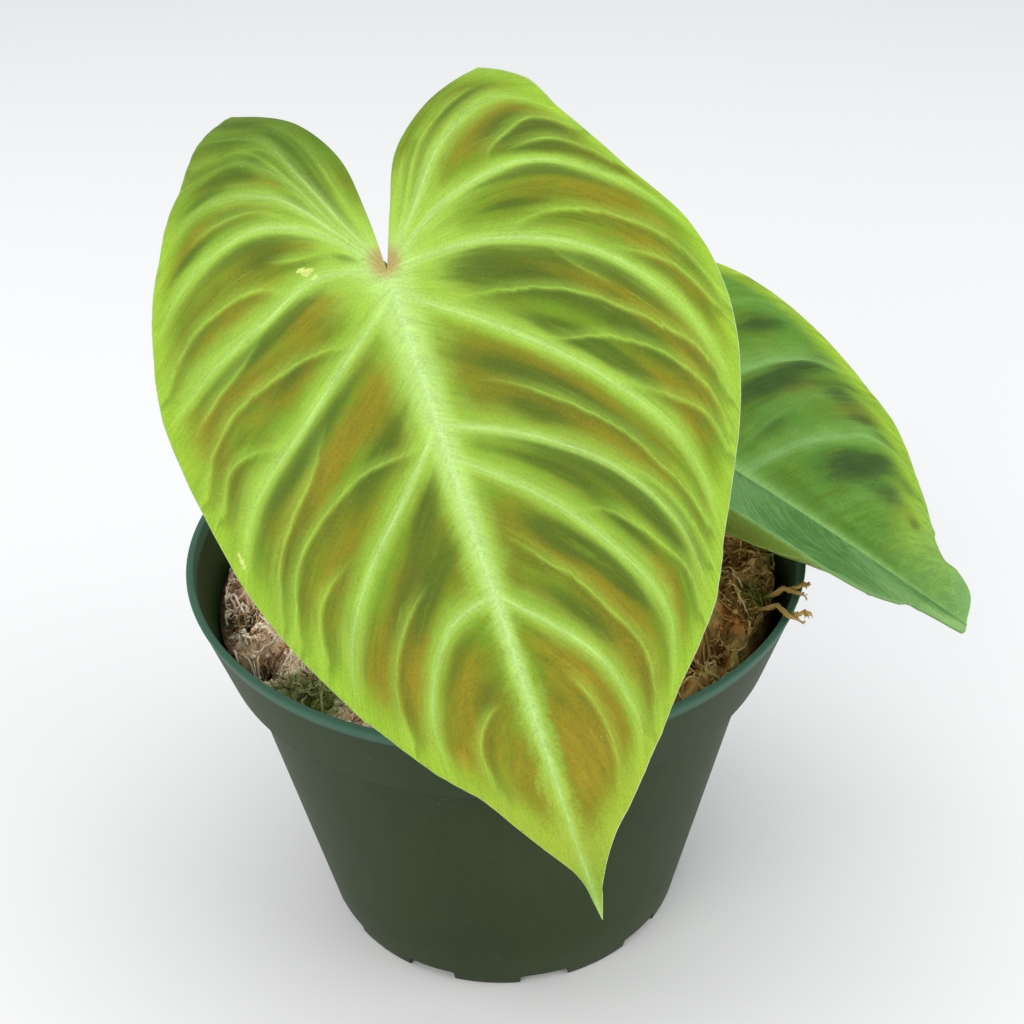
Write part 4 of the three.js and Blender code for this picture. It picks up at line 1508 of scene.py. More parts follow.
RIGHT_FINE = (
    ((0.55, 0.1), (0.55, 0.25), (0.5, 0.42), (0.45, 0.6), (0.5, 0.8)),
    ((0.25, 0.06), (0.25, 0.2), (0.25, 0.36), (0.22, 0.5)),
    ((1.8, 0.42), (1.55, 0.5), (1.4, 0.62), (1.3, 0.73), (1.26, 0.82), (1.2, 0.96)),
    ((1.72, 0.5), (1.6, 0.62), (1.55, 0.75), (1.6, 0.9)),
    ((2.92, 0.28), (2.68, 0.39), (2.57, 0.5), (2.46, 0.66), (2.4, 0.78), (2.4, 0.9), (2.5, 0.97)),
    ((2.92, 0.52), (2.82, 0.6), (2.72, 0.69), (2.62, 0.8), (2.6, 0.92)),
    ((3.0, 0.37), (3.12, 0.41), (3.2, 0.47), (3.22, 0.56)),
    ((3.9, 0.13), (3.68, 0.21), (3.53, 0.31), (3.42, 0.43), (3.37, 0.56), (3.28, 0.7), (3.16, 0.82), (3.14, 0.93)),
    ((3.97, 0.32), (3.86, 0.42), (3.68, 0.52), (3.54, 0.64), (3.44, 0.76), (3.34, 0.86), (3.36, 0.95)),
    ((3.96, 0.55), (3.84, 0.66), (3.7, 0.76), (3.52, 0.86), (3.5, 0.95)),
    ((4.56, 0.16), (4.53, 0.3), (4.52, 0.45), (4.5, 0.58), (4.56, 0.68), (4.5, 0.8), (4.36, 0.9)),
    ((4.97, 0.5), (4.84, 0.62), (4.78, 0.76), (4.7, 0.92)),
    ((5.92, 0.38), (5.62, 0.48), (5.5, 0.6), (5.42, 0.71), (5.26, 0.82), (5.22, 0.94)),
    ((6.44, 0.12), (6.5, 0.24), (6.5, 0.38), (6.54, 0.52), (6.5, 0.68), (6.55, 0.8), (6.66, 0.93)),
    ((7.42, 0.3), (7.45, 0.45), (7.5, 0.6), (7.58, 0.75), (7.7, 0.88)),
)
LEFT_FINE = (
    ((0.2, 0.08), (0.5, 0.22), (0.52, 0.4), (0.4, 0.58), (0.38, 0.72), (0.4, 0.86)),
    ((1.1, 0.5), (1.25, 0.68), (1.6, 0.8), (1.65, 0.95)),
    ((1.96, 0.42), (1.75, 0.55), (1.62, 0.7), (1.6, 0.84)),
    ((3.5, 0.4), (3.4, 0.52), (3.42, 0.66), (3.5, 0.8)),
    ((4.22, 0.15), (4.48, 0.28), (4.48, 0.38), (4.4, 0.46)),
    ((4.96, 0.36), (4.72, 0.45), (4.6, 0.56), (4.55, 0.7), (4.56, 0.83), (4.7, 0.94)),
    ((6.0, 0.17), (5.72, 0.3), (5.54, 0.44), (5.45, 0.6), (5.46, 0.78), (5.58, 0.94)),
    ((5.97, 0.56), (5.78, 0.68), (5.68, 0.8), (5.74, 0.9)),
    ((5.05, 0.5), (5.18, 0.62), (5.22, 0.74), (5.26, 0.88)),
    ((7.0, 0.08), (6.8, 0.21), (6.6, 0.37), (6.5, 0.55), (6.47, 0.7), (6.5, 0.84), (6.56, 0.95)),
    ((6.12, 0.4), (6.24, 0.52), (6.3, 0.68), (6.33, 0.82), (6.4, 0.95)),
    ((6.82, 0.55), (6.74, 0.68), (6.7, 0.8), (6.76, 0.92)),
    ((8.42, 0.32), (8.3, 0.48), (8.22, 0.65), (8.25, 0.8), (8.4, 0.92)),
    ((9.75, 0.26), (9.66, 0.45), (9.62, 0.62), (9.7, 0.75), (9.82, 0.86)),
)
RIGHT_FLUSHES: tuple[Patch, ...] = (
    (0.75, 0.55, 0.12, 0.2, 0.4), (1.35, 0.6, 0.28, 0.2, 1.0), (2.3, 0.65, 0.16, 0.2, 0.8),
    (2.65, 0.72, 0.16, 0.16, 0.8), (3.3, 0.5, 0.2, 0.25, 0.8), (3.75, 0.72, 0.12, 0.12, 0.9),
    (4.4, 0.38, 0.3, 0.28, 1.0), (4.7, 0.45, 0.2, 0.25, 0.6), (5.75, 0.76, 0.2, 0.15, 1.0),
    (5.25, 0.62, 0.15, 0.15, 0.4), (6.35, 0.45, 0.15, 0.3, 1.0), (6.65, 0.65, 0.2, 0.25, 1.1),
    (7.3, 0.45, 0.3, 0.3, 1.0), (7.9, 0.5, 0.35, 0.3, 1.0), (8.35, 0.45, 0.45, 0.3, 1.2), (7.6, 0.72, 0.4, 0.14, 0.8),
    (1.3, 0.75, 0.2, 0.12, 0.6), (3.45, 0.8, 0.3, 0.1, 0.6),
)
LEFT_FLUSHES: tuple[Patch, ...] = (
    (2.35, 0.6, 0.2, 0.12, 0.8), (2.55, 0.75, 0.2, 0.12, 0.7), (3.35, 0.62, 0.2, 0.15, 0.9),
    (3.5, 0.8, 0.2, 0.1, 0.6), (4.28, 0.4, 0.15, 0.2, 0.8), (4.7, 0.6, 0.15, 0.2, 0.7), (5.3, 0.28, 0.16, 0.13, 0.9),
    (5.35, 0.65, 0.18, 0.2, 0.8), (5.62, 0.45, 0.14, 0.15, 0.9), (6.33, 0.45, 0.13, 0.3, 1.0),
    (6.42, 0.2, 0.1, 0.12, 0.85), (6.75, 0.55, 0.16, 0.25, 0.7), (8.2, 0.5, 0.5, 0.35, 0.9),
    (8.6, 0.65, 0.3, 0.2, 0.9), (7.8, 0.8, 0.3, 0.12, 0.8), (9.35, 0.42, 0.25, 0.28, 0.8),
    (9.65, 0.5, 0.2, 0.25, 0.9), (9.4, 0.78, 0.2, 0.1, 0.8), (10.3, 0.48, 0.4, 0.25, 1.0),
    (9.1, 0.85, 0.5, 0.08, 0.6), (5.4, 0.85, 0.5, 0.08, 0.5),
)
# The shade patches mark dark green streaks under the veins: partly the leaf's own colour, partly painted shade.
RIGHT_SHADES: tuple[Patch, ...] = (
    (0.6, 0.7, 0.15, 0.16, 0.8), (1.4, 0.7, 0.2, 0.15, 1.4), (1.7, 0.6, 0.16, 0.14, 0.7),
    (2.12, 0.5, 0.08, 0.22, 0.9), (2.48, 0.38, 0.08, 0.1, 0.9), (3.14, 0.5, 0.09, 0.22, 0.9),
    (3.42, 0.34, 0.16, 0.15, 1.1), (3.5, 0.62, 0.12, 0.14, 1.0), (3.8, 0.5, 0.09, 0.18, 1.3),
    (4.4, 0.3, 0.17, 0.18, 1.0), (4.45, 0.55, 0.13, 0.14, 0.8), (5.16, 0.5, 0.12, 0.3, 1.2),
    (5.42, 0.34, 0.14, 0.18, 0.9), (5.62, 0.55, 0.1, 0.14, 0.8), (6.2, 0.5, 0.11, 0.18, 1.4),
    (6.75, 0.4, 0.12, 0.2, 0.8), (7.75, 0.3, 0.12, 0.1, 0.5), (3.3, 0.22, 0.3, 0.1, 0.7),
    (4.75, 0.3, 0.12, 0.14, 0.8), (5.3, 0.7, 0.1, 0.12, 0.8), (6.3, 0.3, 0.12, 0.12, 0.8),
)
LEFT_SHADES: tuple[Patch, ...] = (
    (0.85, 0.45, 0.12, 0.2, 1.0), (0.72, 0.65, 0.1, 0.12, 1.2), (0.45, 0.88, 0.2, 0.12, 1.1),
    (1.15, 0.6, 0.22, 0.13, 0.7), (1.15, 0.86, 0.3, 0.12, 0.9), (1.7, 0.69, 0.3, 0.05, 0.8),
    (2.35, 0.74, 0.22, 0.12, 1.2), (2.75, 0.8, 0.16, 0.12, 0.9), (2.7, 0.4, 0.3, 0.1, 0.8),
    (3.35, 0.62, 0.14, 0.12, 0.9), (3.65, 0.78, 0.14, 0.1, 0.8), (4.16, 0.5, 0.08, 0.28, 0.8),
    (4.35, 0.45, 0.12, 0.12, 0.9), (4.5, 0.15, 0.2, 0.05, 0.8), (5.15, 0.5, 0.09, 0.32, 1.1),
    (5.6, 0.45, 0.1, 0.12, 0.8), (6.12, 0.5, 0.08, 0.32, 1.1), (6.66, 0.3, 0.12, 0.2, 1.0),
    (7.8, 0.22, 0.35, 0.12, 0.9), (8.1, 0.45, 0.3, 0.25, 0.7), (8.5, 0.3, 0.2, 0.2, 1.0),
    (9.2, 0.35, 0.09, 0.22, 0.6), (9.6, 0.35, 0.15, 0.2, 0.6),
)
LEFT_SCARS: tuple[Patch, ...] = (
    (4.79, 0.29, 0.07, 0.03, 1.0), (4.7, 0.32, 0.05, 0.02, 0.9), (4.94, 0.26, 0.05, 0.02, 0.9),
    (5.98, 0.925, 0.06, 0.02, 0.9),
)
BACK_FLUSHES: tuple[Patch, ...] = (
    (5.35, 0.7, 0.35, 0.14, 0.9), (4.7, 0.5, 0.25, 0.14, 0.7), (7.4, 0.72, 0.35, 0.14, 0.9),
    (6.8, 0.76, 0.15, 0.1, 0.7),
)
BACK_SHADES: tuple[Patch, ...] = (
    (3.4, 0.6, 0.2, 0.15, 0.8), (4.42, 0.4, 0.3, 0.26, 0.9), (4.15, 0.64, 0.18, 0.14, 0.8),
    (5.2, 0.26, 0.3, 0.12, 0.5), (5.0, 0.66, 0.3, 0.1, 0.7), (5.6, 0.68, 0.14, 0.12, 0.6),
    (6.5, 0.42, 0.3, 0.19, 0.85), (6.45, 0.62, 0.2, 0.15, 0.7), (7.05, 0.6, 0.25, 0.15, 0.7),
    (7.7, 0.74, 0.35, 0.1, 0.6), (3.9, 0.8, 0.12, 0.1, 0.5), (5.9, 0.78, 0.12, 0.1, 0.6), (4.7, 0.8, 0.12, 0.08, 0.5),
    (6.7, 0.8, 0.14, 0.08, 0.6),
)


class Side(Enum):
    """The two halves of a blade."""

    RIGHT = "right"
    LEFT = "left"


def spline_points(points: list[Point2], at: np.ndarray) -> np.ndarray:
    """Returns a uniform spline through points.

    Args:
        points: The points it passes through.
        at: Shares of its length in points, from 0 to 1.

    Returns:
        One row of x and y for each share.
    """
    known = np.array(points, float)
    last = len(known) - 1
    place = np.clip(at, 0.0, 1.0) * last
    i = np.minimum(place.astype(int), last - 1)
    return spline_row(*(known[np.clip(i + k, 0, last)] for k in (-1, 0, 1, 2)), (place - i)[:, None])


@dataclass
class HalfBlade:
    """The flat layout of one half of a blade, as rows by vein number and columns by share of the way to the margin."""

    veins: tuple[Vein, ...]
    fine: tuple[tuple[Point2, ...], ...]
    steps: int
    shares: np.ndarray
    wobble: float
    no_vein: float = 30.0

    def __post_init__(self) -> None:
        """Works out the layout and the distances that the finish reads."""
        self.last = len(self.veins) - 1
        self.numbers = np.linspace(0, self.last, self.last * self.steps + 1)
        self.flat, self.spacing = self.lay_out(self.numbers, self.shares)
        self.between = self.numbers - self.interval(self.numbers)
        self.towards_sinus = np.maximum(1 - self.numbers, 0.0)[:, None]
        strengths = np.array([v.strength for v in self.veins], float)
        self.strength = strengths[np.rint(self.numbers).astype(int)][:, None] * np.ones_like(self.spacing)
        self.rim_gap = np.linalg.norm(self.flat[:, -1:, :] - self.flat, axis=2)
        self.crease = np.full_like(self.spacing, self.no_vein)
        self.fade = np.zeros_like(self.spacing)
        self.gaps = [self._fine_gaps(k) for k in range(self.last)]

    def interval(self, numbers: np.ndarray) -> np.ndarray:
        """Returns which two veins each vein number lies between."""
        return np.minimum(numbers.astype(int), self.last - 1)

    def patches(self, patches: tuple[Patch, ...]) -> np.ndarray:
        """Adds up soft patches over the grid.

        Args:
            patches: The patches.

        Returns:
            Their amount at each point.
        """
        total = np.zeros_like(self.spacing)
        for number, share, wide, long, amount in patches:
            across, along = (self.numbers[:, None] - number) / wide, (self.shares[None, :] - share) / long
            total += amount * np.exp(-across ** 2 - along ** 2)
        return total

    def lay_out(self, numbers: np.ndarray, shares: np.ndarray) -> tuple[np.ndarray, np.ndarray]:
        """Lays out a grid of vein numbers and shares.

        Args:
            numbers: The vein numbers of the rows.
            shares: The shares of the way to the margin, one for each column.

        Returns:
            Flat x and y in millimetres for each row and column, and the distance between the two veins there.
        """
        courses = [spline_points([(0.0, v.root), *v.through, v.end], shares) for v in self.veins]
        tips = np.array([v.end for v in self.veins])
        margin_course = [point for v in self.veins[:-1] for point in (v.end, v.following)] + [self.veins[-1].end]
        margin = spline_points(margin_course, numbers / self.last)
        interval = self.interval(numbers)
        before, after = (np.array([courses[k + step] for k in interval]) for step in (0, 1))
        b = (numbers - interval)[:, None, None]
        straight = (1 - b[:, :, 0]) * tips[interval] + b[:, :, 0] * tips[interval + 1]
        wave = np.sin(5.1 * numbers + 1.0) * 0.5 + np.sin(11.7 * numbers) * 0.3 + np.sin(23.0 * numbers + 2.0) * 0.2
        wave = wave * np.clip((margin[:, 1] + LEAF_LENGTH) / 40.0, 0, 1)
        ripple = (margin - np.array([0.0, -40.0])) * (self.wobble * wave / 60.0)[:, None]
        correction = (margin - straight)[:, None, :] * (shares ** 3)[None, :, None]
        correction = correction + ripple[:, None, :] * (shares ** 9)[None, :, None]
        return (1 - b) * before + b * after + correction, np.linalg.norm(after - before, axis=2)

    def _fine_gaps(self, k: int) -> np.ndarray:
        """Works out the distances to the fine veins of one interval, and how strongly the nearest one shows.

        Args:
            k: The interval's number.

        Returns:
            Four layers of rows and columns in millimetres, positive below a fine vein, no_vein where there is none.
        """
        rows = slice(k * self.steps, (k + 1) * self.steps + 1)
        flat, numbers = self.flat[rows], self.numbers[rows]
        layers = np.full((4, *flat.shape[:2]), self.no_vein)
        here = [f for f in self.fine if k < f[len(f) // 2][0] <= k + 1]
        for layer, course in zip(layers, here):
            track = spline_points(list(course), np.linspace(0, 1, 60))
            inside = np.clip(track, (0.0, 0.0), (99.0, 1.0))
            spots = np.array([self.lay_out(row[:1], row[1:])[0][0, 0] for row in inside])
            away = np.linalg.norm(flat[:, :, None, :] - spots[None, None], axis=3).min(axis=2)
            course_here = np.interp(self.shares, track[:, 1], track[:, 0])
            layer[:] = np.where(numbers[:, None] > course_here[None, :], away, -away)
            nearer = away < self.crease[rows]
            ending = np.clip((track[-1, 1] - self.shares) / 0.1, 0, 1) if track[-1, 1] < 0.89 else 1.0
            shown = (np.clip((self.shares - track[0, 1]) / 0.16, 0, 1) * ending)[None, :] * np.ones_like(away)
            self.fade[rows] = np.where(nearer, shown, self.fade[rows])
            self.crease[rows] = np.minimum(self.crease[rows], away)
        return layers


@dataclass
class Leaf:
    """One heart-shaped blade. Lengths in millimetres; the form is the same as the solid's, with finer relief."""

    name: str
    node: str
    junction: Point3
    heading_deg: float
    slope_deg: float
    roll_deg: float
    scale: float
    rise: dict[Side, float]
    crown: dict[Side, float]
    arch_slope: float
    arch: float
    lobe_drop: float
    margin_curl: float
    lobe_roll: float
    # how strongly each half's lobes are darkened with painted shade
    painted_lobe_shade_by_side: dict[Side, float]
    sag: float
    quilt: float
    veins: dict[Side, tuple[Vein, ...]]
    pigment: LeafPigment
    pucker: float
    fine: dict[Side, tuple[tuple[Point2, ...], ...]]
    flushes: dict[Side, tuple[Patch, ...]]
    shades: dict[Side, tuple[Patch, ...]]
    scars: dict[Side, tuple[Patch, ...]]
    wobble: float = 0.14
    thickness: float = 0.7
    midrib_depth: float = 2.0
    vein_depth: float = 0.7
    vein_height: float = 0.3
    midrib_height: float = 0.35
    crease_depth: float = 0.3
    steepest_quilt: float = 0.11
    station_power: float = 1.12
    steps: int = 20
    stations: int = 58

    def turn(self) -> Matrix:
        """Returns the blade's turn from its own frame into the shared one."""
        turns = ((self.heading_deg, "Z"), (self.slope_deg, "X"), (self.roll_deg, "Y"))
        return reduce(lambda a, b: a @ b, [Matrix.Rotation(math.radians(angle), 3, axis) for angle, axis in turns])

    def place(self, x: float, y: float, z: float) -> Vector:
        """Returns a place of the blade's own frame in the shared frame, in millimetres."""
        return Vector(self.junction) + self.turn() @ (Vector((x, y, z)) * self.scale)

    def form(self, side: Side, x: np.ndarray, y: np.ndarray) -> np.ndarray:
        """Works out the blade's form without veins.

        Args:
            side: Which half.
            x: Millimetres from the midrib.
            y: Millimetres above the junction.

        Returns:
            The height of each point.
        """
        away = np.sqrt(x * x + 9) - 3
        curl = self.margin_curl * np.maximum(-x - 25, 0.0) ** 2 * np.clip((y + 110) / 60, 0, 1)
        return (self.rise[side] * away - self.crown[side] * x * x - self.arch * y * y - self.arch_slope * y
                - self.lobe_drop * np.maximum(y, 0.0) ** 2 + curl)

    def relief(self, side: Side, half: HalfBlade) -> tuple[np.ndarray, np.ndarray]:
        """Works out the quilting, the veins and the creases.

        Args:
            side: Which half.
            half: Its flat layout.

        Returns:
            The height of the upper face, and the depth of the blade under it.
        """
        x, y = half.flat[..., 0], half.flat[..., 1]
        share, between = half.shares[None, :], half.between[:, None]
        whole = np.minimum(self.quilt, self.steepest_quilt * half.spacing)
        centres = np.arange(half.last) + 0.5
        at_centres = whole[(centres * self.steps).astype(int)]
        amounts = np.stack([np.interp(half.numbers, centres, column) for column in at_centres.T], axis=1)
        swell = amounts * (1 - half.strength * (1 - np.sin(np.pi * between) ** 0.7))
        swell = swell * smooth_rise(np.abs(x), -0.5, 5.0) * smooth_rise(half.rim_gap, -1.0, 5.0)
        roll = self.lobe_roll * half.towards_sinus ** 2 * share
        hang = self.sag * smooth_rise(y, -88.0, -46.0) if side is Side.LEFT else 0.0
        out = np.clip(share / 0.15, 0, 1)
        top = self.form(side, x, y) + swell * out * (1 - 0.35 * share) - roll - hang * np.sin(np.pi * share ** 1.3)
        crease = half.fade * np.exp(-((half.crease / 1.2) ** 2))
        crease = self.crease_depth * crease * smooth_rise(half.rim_gap, 1.0, 7.0)
        top = top - crease * smooth_rise(half.spacing, 3.0, 9.0)
        top = top + self.puckers(x, y) * smooth_rise(half.rim_gap, 0.0, 6.0) * out
        nearest = np.minimum(between, 1 - between) * half.spacing
        cord = self.vein_height * half.strength * np.exp(-((nearest / 0.55) ** 2)) * (1 - 0.7 * share) * out
        rib = np.exp(-((x / 1.3) ** 2)) * (y < 4) * np.clip(1 + y / LEAF_LENGTH, 0, 1)
        top = top + cord + self.midrib_height * rib
        ridge = self.vein_depth * half.strength * (1 - 0.7 * share) * np.exp(-((nearest / 0.9) ** 2)) * out
        return top, self.thickness / self.scale + cord + ridge + (self.midrib_depth + self.midrib_height) * rib

    def puckers(self, x: np.ndarray, y: np.ndarray) -> np.ndarray:
        """Works out the blade's small uneven puckers.

        Args:
            x: Millimetres from the midrib.
            y: Millimetres above the junction.

        Returns:
            The height that they add.
        """
        shift = self.heading_deg
        waves = np.sin(0.52 * x + 0.23 * y + shift) * np.sin(0.31 * y - 0.2 * x + 2 * shift)
        fine = np.sin(1.15 * x - 0.5 * y + shift) * np.sin(0.9 * y + 0.66 * x)
        return self.pucker * (0.7 * waves + 0.3 * fine)

    def add_half(self, bm: bmesh.types.BMesh, side: Side) -> None:
        """Adds one half of the blade as a grid and moves it to the blade's form.

        Args:
            bm: The bmesh that holds the blade.
            side: Which half.
        """
        shares = np.linspace(0, 1, self.stations) ** self.station_power
        half = HalfBlade(self.veins[side], self.fine[side], self.steps, shares, self.wobble)
        x, y = half.flat[..., 0], half.flat[..., 1]
        top, depth = self.relief(side, half)
        local = np.stack([x, y, top], axis=-1) * self.scale
        shared = (local @ np.array(self.turn()).T + np.array(self.junction)) * MM
        # painted shade of the lobes, strongest at their tops and towards the sinus
        painted_lobe_shade = np.clip(smooth_rise(y, 14.0, 46.0) + half.towards_sinus * 0.5 * shares, 0, 1)
        fields = {
            "spacing": half.spacing, "rim_gap": half.rim_gap, "rib_gap": np.hypot(x, np.maximum(y, 0.0)),
            "heart_gap": np.hypot(x, y - 2.0), "strength": half.strength, "fade": half.fade, "depth": depth,
            "flush": half.patches(self.flushes[side]), "shade": half.patches(self.shades[side]),
            "scar": half.patches(self.scars[side]), "painted_lobe_shade": painted_lobe_shade * self.painted_lobe_shade_by_side[side],
            "tipward": smooth_rise(-y, 92.0, 132.0),
            "rib_width": 0.3 + 2.3 * np.clip(1 + y / LEAF_LENGTH, 0, 1) ** 2.2,
        }
        layers = {key: bm.verts.layers.float.get(key) or bm.verts.layers.float.new(key) for key in fields}
        names = (BLADE_LAYER, SIDES_LAYER, *FINE_LAYERS)
        uv, sides, *fine_uvs = (bm.loops.layers.uv.get(n) or bm.loops.layers.uv.new(n) for n in names)
        shift = 0.0 if side is Side.RIGHT else LEFT_SHIFT
        rows, columns = half.spacing.shape
        grid = bmesh.ops.create_grid(bm, x_segments=columns - 1, y_segments=rows - 1, size=0.5)["verts"]
        grid.sort(key=lambda v: (round(v.co.y, 6), round(v.co.x, 6)))
        numbered = {}
        for k, vert in enumerate(grid):
            i, j = numbered[vert] = divmod(k, columns)
            vert.co = shared[i, j]
            for key, layer in layers.items():
                vert[layer] = float(fields[key][i, j])
        faces = {face for vert in grid for face in vert.link_faces}
        for face in faces:
            low = min(numbered[loop.vert][0] for loop in face.loops)
            interval = low // self.steps
            flanking = (half.veins[interval].strength, half.veins[interval + 1].strength)
            for loop in face.loops:
                i, j = numbered[loop.vert]
                nudge = 1e-4 if i == low else -1e-4
                gaps = [float(gap) for gap in half.gaps[interval][:, i - interval * self.steps, j]]
                loop[sides].uv = flanking
                loop[uv].uv = (float(half.numbers[i]) + nudge + shift, float(shares[j]))
                for layer, pair in zip(fine_uvs, (gaps[:2], gaps[2:])):
                    loop[layer].uv = pair
        if side is Side.RIGHT:
            bmesh.ops.reverse_faces(bm, faces=list(faces))

    def mesh(self) -> bpy.types.Mesh:
        """Joins both halves along the midrib.

        Returns:
            The upper face of the whole blade.
        """
        bm = bmesh.new()
        for side in Side:
            self.add_half(bm, side)
        bmesh.ops.remove_doubles(bm, verts=bm.verts, dist=2 * SAME_PLACE)
        bmesh.ops.dissolve_degenerate(bm, edges=bm.edges, dist=5 * SAME_PLACE)
        up = self.turn() @ Vector((0, 0, 1))
        if sum(face.normal.dot(up) < 0 for face in bm.faces) > len(bm.faces) // 2:
            bmesh.ops.reverse_faces(bm, faces=bm.faces)
        return mesh_of(self.name, bm)

    def build(self) -> bpy.types.Object:
        """Gives the blade its underside, its rim and its finishes.

        Returns:
            The blade.
        """
        mesh = self.mesh()
        depths = np.empty(len(mesh.vertices))
        mesh.attributes["depth"].data.foreach_get("value", depths)
        velvet = LeafFace(self.pigment).material(f"{self.name}_velvet")
        blade = as_piece(self.name, mesh, "leaf_blade", velvet, LeafUnderside().material(f"{self.name}_underside"))
        group = blade.vertex_groups.new(name="depth")
        deepest = float(depths.max())
        for index, depth in enumerate(depths):
            group.add([index], depth / deepest, "REPLACE")
        plate = blade.modifiers.new("plate", "SOLIDIFY")
        plate.thickness = deepest * self.scale * MM
        plate.offset = -1.0
        plate.vertex_group = group.name
        plate.material_offset = 1
        plate.material_offset_rim = 0
        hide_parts(self.node)
        return blade


FRONT_PIGMENT = LeafPigment(
    lime=(0.335, 0.53, 0.062), vein=(0.44, 0.64, 0.175), rib=(0.49, 0.7, 0.26), green=(0.15, 0.272, 0.012),
    dark=(0.075, 0.12, 0.008), olive=(0.17, 0.2, 0.009), brown=(0.215, 0.195, 0.008), russet=(0.275, 0.205, 0.012),
    margin=(0.295, 0.47, 0.03), rim=(0.56, 0.66, 0.4), tip=(0.34, 0.42, 0.04), tip_end=(0.2, 0.32, 0.03),
    junction=(0.4, 0.28, 0.1), scar=(0.6, 0.68, 0.2), vein_width=0.48, line=1.0, glow_width=5.0, margin_near=0.5,
    margin_far=12.5, sky_sheen=0.0,
)
# The back leaf's colours are darker than the front leaf's: partly its own colour, partly painted shade, as it lies more
# in shade.
BACK_PIGMENT = LeafPigment(
    lime=(0.165, 0.33, 0.055), vein=(0.22, 0.4, 0.11), rib=(0.2, 0.37, 0.11), green=(0.1, 0.25, 0.025),
    dark=(0.03, 0.065, 0.008), olive=(0.11, 0.215, 0.014), brown=(0.13, 0.17, 0.014), russet=(0.15, 0.15, 0.016),
    margin=(0.33, 0.5, 0.028), rim=(0.3, 0.45, 0.1), tip=(0.14, 0.29, 0.07), tip_end=(0.16, 0.32, 0.09),
    junction=(0.3, 0.25, 0.1), scar=(0.4, 0.5, 0.2), vein_width=1.7, line=0.8, glow_width=6.0, margin_near=6.0,
    margin_far=24.0, sky_sheen=0.95,
)


def on(right: Half, left: Half) -> dict[Side, Half]:
    """Returns what belongs to the right half and to the left half of a blade."""
    return {Side.RIGHT: right, Side.LEFT: left}


def stalks() -> tuple[Petiole, Petiole]:
    """Gives both stalks their feet and courses.

    Returns:
        The stalks of the front leaf and of the back leaf.
    """
    front = Petiole(
        name="front_stalk", node="petiole_front", foot_z=126.0, foot_turn_deg=-118.0, stem_radius=3.8,
        through=((-10, -9, 150), (-16, -13, 176), (-20, -20, 198)), radius=2.3, bristle_count=520, seed=3,
    )
    back = Petiole(
        name="back_stalk", node="petiole_back", foot_z=117.0, foot_turn_deg=8.0, stem_radius=4.4,
        through=((24, 10, 133),), radius=2.1, bristle_count=240, seed=5,
    )
    return front, back


def leaves() -> tuple[Leaf, Leaf]:
    """Gives both leaves their sizes, veins and colours.

    Returns:
        The front leaf and the back leaf.
    """
    front = Leaf(
        name="front_blade", node="leaf_front", junction=(-21, -44, 218.5), heading_deg=28.6, slope_deg=52.4,
        roll_deg=-23.4, scale=1.0, rise=on(0.14, 0.14), crown=on(0.0032, 0.0032), arch_slope=0.08, arch=0.0008,
        lobe_drop=0.005, margin_curl=0.0, lobe_roll=3.5, painted_lobe_shade_by_side=on(0.12, 1.0), sag=0.0, quilt=1.6,
        veins=on(RIGHT_VEINS + SLENDER_RIGHT, LEFT_VEINS + SLENDER_LEFT), pigment=FRONT_PIGMENT, pucker=0.3,
        fine=on(RIGHT_FINE, LEFT_FINE), flushes=on(RIGHT_FLUSHES, LEFT_FLUSHES),
        shades=on(RIGHT_SHADES, LEFT_SHADES), scars=on((), LEFT_SCARS),
    )
    broad_veins = (
        *(replace(vein, strength=0.95 if k in (4, 6) else 0.25) for k, vein in enumerate(RIGHT_VEINS[:7])),
        replace(RIGHT_VEINS[7], following=(18.6, -120.3), strength=0.2),
        *(replace(vein, strength=0.0) for vein in BROAD_RIGHT),
    )
    back = Leaf(
        name="back_blade", node="leaf_back", junction=(38.5, 6, 152), heading_deg=85.4, slope_deg=33.8,
        roll_deg=-14.4, scale=0.776, rise=on(0.9, 0.39), crown=on(0.0079, -0.0034), arch_slope=0.0, arch=0.0003,
        lobe_drop=0.004, margin_curl=0.0032, lobe_roll=3.0, painted_lobe_shade_by_side=on(0.5, 0.5), sag=10.0, quilt=1.9,
        veins=on(broad_veins, LEFT_VEINS + BROAD_LEFT), pigment=BACK_PIGMENT, pucker=0.45,
        fine=on((), ()), flushes=on(BACK_FLUSHES, ()), shades=on(BACK_SHADES, ()), scars=on((), ()),
        steps=18, stations=50,
    )
    return front, back


# Studio


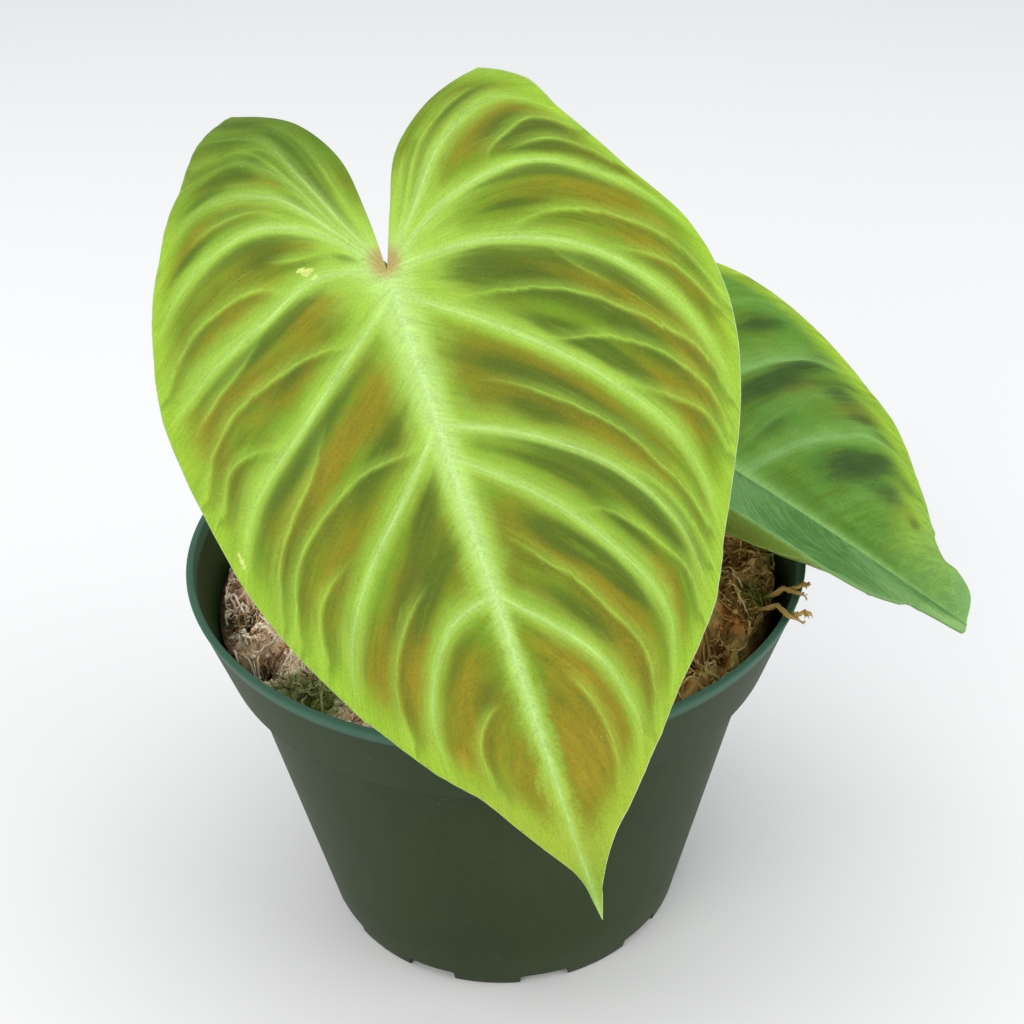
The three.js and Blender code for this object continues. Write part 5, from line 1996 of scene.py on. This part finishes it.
@dataclass
class Studio:
    """Pale ground, soft lights and the camera. Metres."""

    camera_at: Vector = Vector((0.004556, -0.37590, 0.37981))
    right: Vector = Vector((0.99974, -0.01275, -0.01886))
    up: Vector = Vector((0.02276, 0.56007, 0.82813))
    focal_length: float = 59.98
    aim: Vector = Vector((0.01, -0.02, 0.13))
    ground_radius: float = 6.0
    sky: Colour = (0.9, 0.94, 1.0)
    sky_strength: float = 0.8

    def camera(self) -> None:
        """Puts the camera where the plant was seen from."""
        data = bpy.data.cameras.new("view")
        data.lens = self.focal_length
        data.sensor_width = 36.0
        data.clip_start, data.clip_end = 0.01, 50.0
        camera = shown("view", data)
        back = self.right.cross(self.up).normalized()
        turn = Matrix((self.right, self.up, back)).transposed().to_4x4()
        camera.matrix_world = Matrix.Translation(self.camera_at) @ turn
        bpy.context.scene.camera = camera

    def ground(self) -> None:
        """Lays a pale ground under the pot."""
        bm = bmesh.new()
        bmesh.ops.create_circle(bm, cap_ends=True, segments=96, radius=self.ground_radius)
        mesh = mesh_of("ground", bm)
        mesh.materials.append(PaleBoard().material("pale_board"))
        shown("ground", mesh)

    def softbox(self, name: str, at: Point3, size: float, power: float, colour: Colour) -> None:
        """Hangs one large soft light that is aimed at the plant.

        Args:
            name: The light's name.
            at: Where it hangs.
            size: How wide it is.
            power: Its power in watts.
            colour: Its colour.
        """
        data = bpy.data.lights.new(name, "AREA")
        data.shape = "DISK"
        data.size = size
        data.energy = power
        data.color = colour
        turn = (self.aim - Vector(at)).to_track_quat("-Z", "Y").to_matrix().to_4x4()
        shown(name, data).matrix_world = Matrix.Translation(at) @ turn

    def lights(self) -> None:
        """Lights the plant as an open bright sky does, brightest from above and behind."""
        self.softbox("window_front", (-0.75, -1.1, 0.85), 1.2, 9.5, (1.0, 0.995, 0.97))
        self.softbox("sky_above", (0.15, 0.2, 1.3), 1.2, 4.5, (0.95, 0.98, 1.0))
        self.softbox("window_right", (1.05, -0.35, 0.5), 0.9, 6.0, (0.97, 0.98, 1.0))
        self.softbox("sky_left", (-1.0, 0.15, 0.65), 0.8, 3.0, (0.98, 0.99, 1.0))
        world = bpy.data.worlds.new("open_sky")
        world.use_nodes = True
        colour, strength = world.node_tree.nodes["Background"].inputs[:2]
        colour.default_value, strength.default_value = (*self.sky, 1.0), self.sky_strength
        bpy.context.scene.world = world
        bpy.context.scene.view_settings.view_transform = "Standard"

    def build(self) -> None:
        """Sets up the ground, the lights and the camera."""
        self.ground()
        self.lights()
        self.camera()


def main() -> None:
    """Builds the plant piece by piece, then the studio."""
    logging.basicConfig(level=logging.INFO, format="%(name)s: %(message)s")
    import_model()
    stem = Stem()
    pieces = [Pot().build(), *Moss().build(), stem.build()]
    for stalk, leaf in zip(stalks(), leaves()):
        pieces += [*stalk.build(stem.course(), leaf), leaf.build()]
    Studio().build()
    for piece in pieces:
        log.info("%s: %d faces", piece.name, len(piece.data.polygons))


if __name__ == "__main__":
    main()
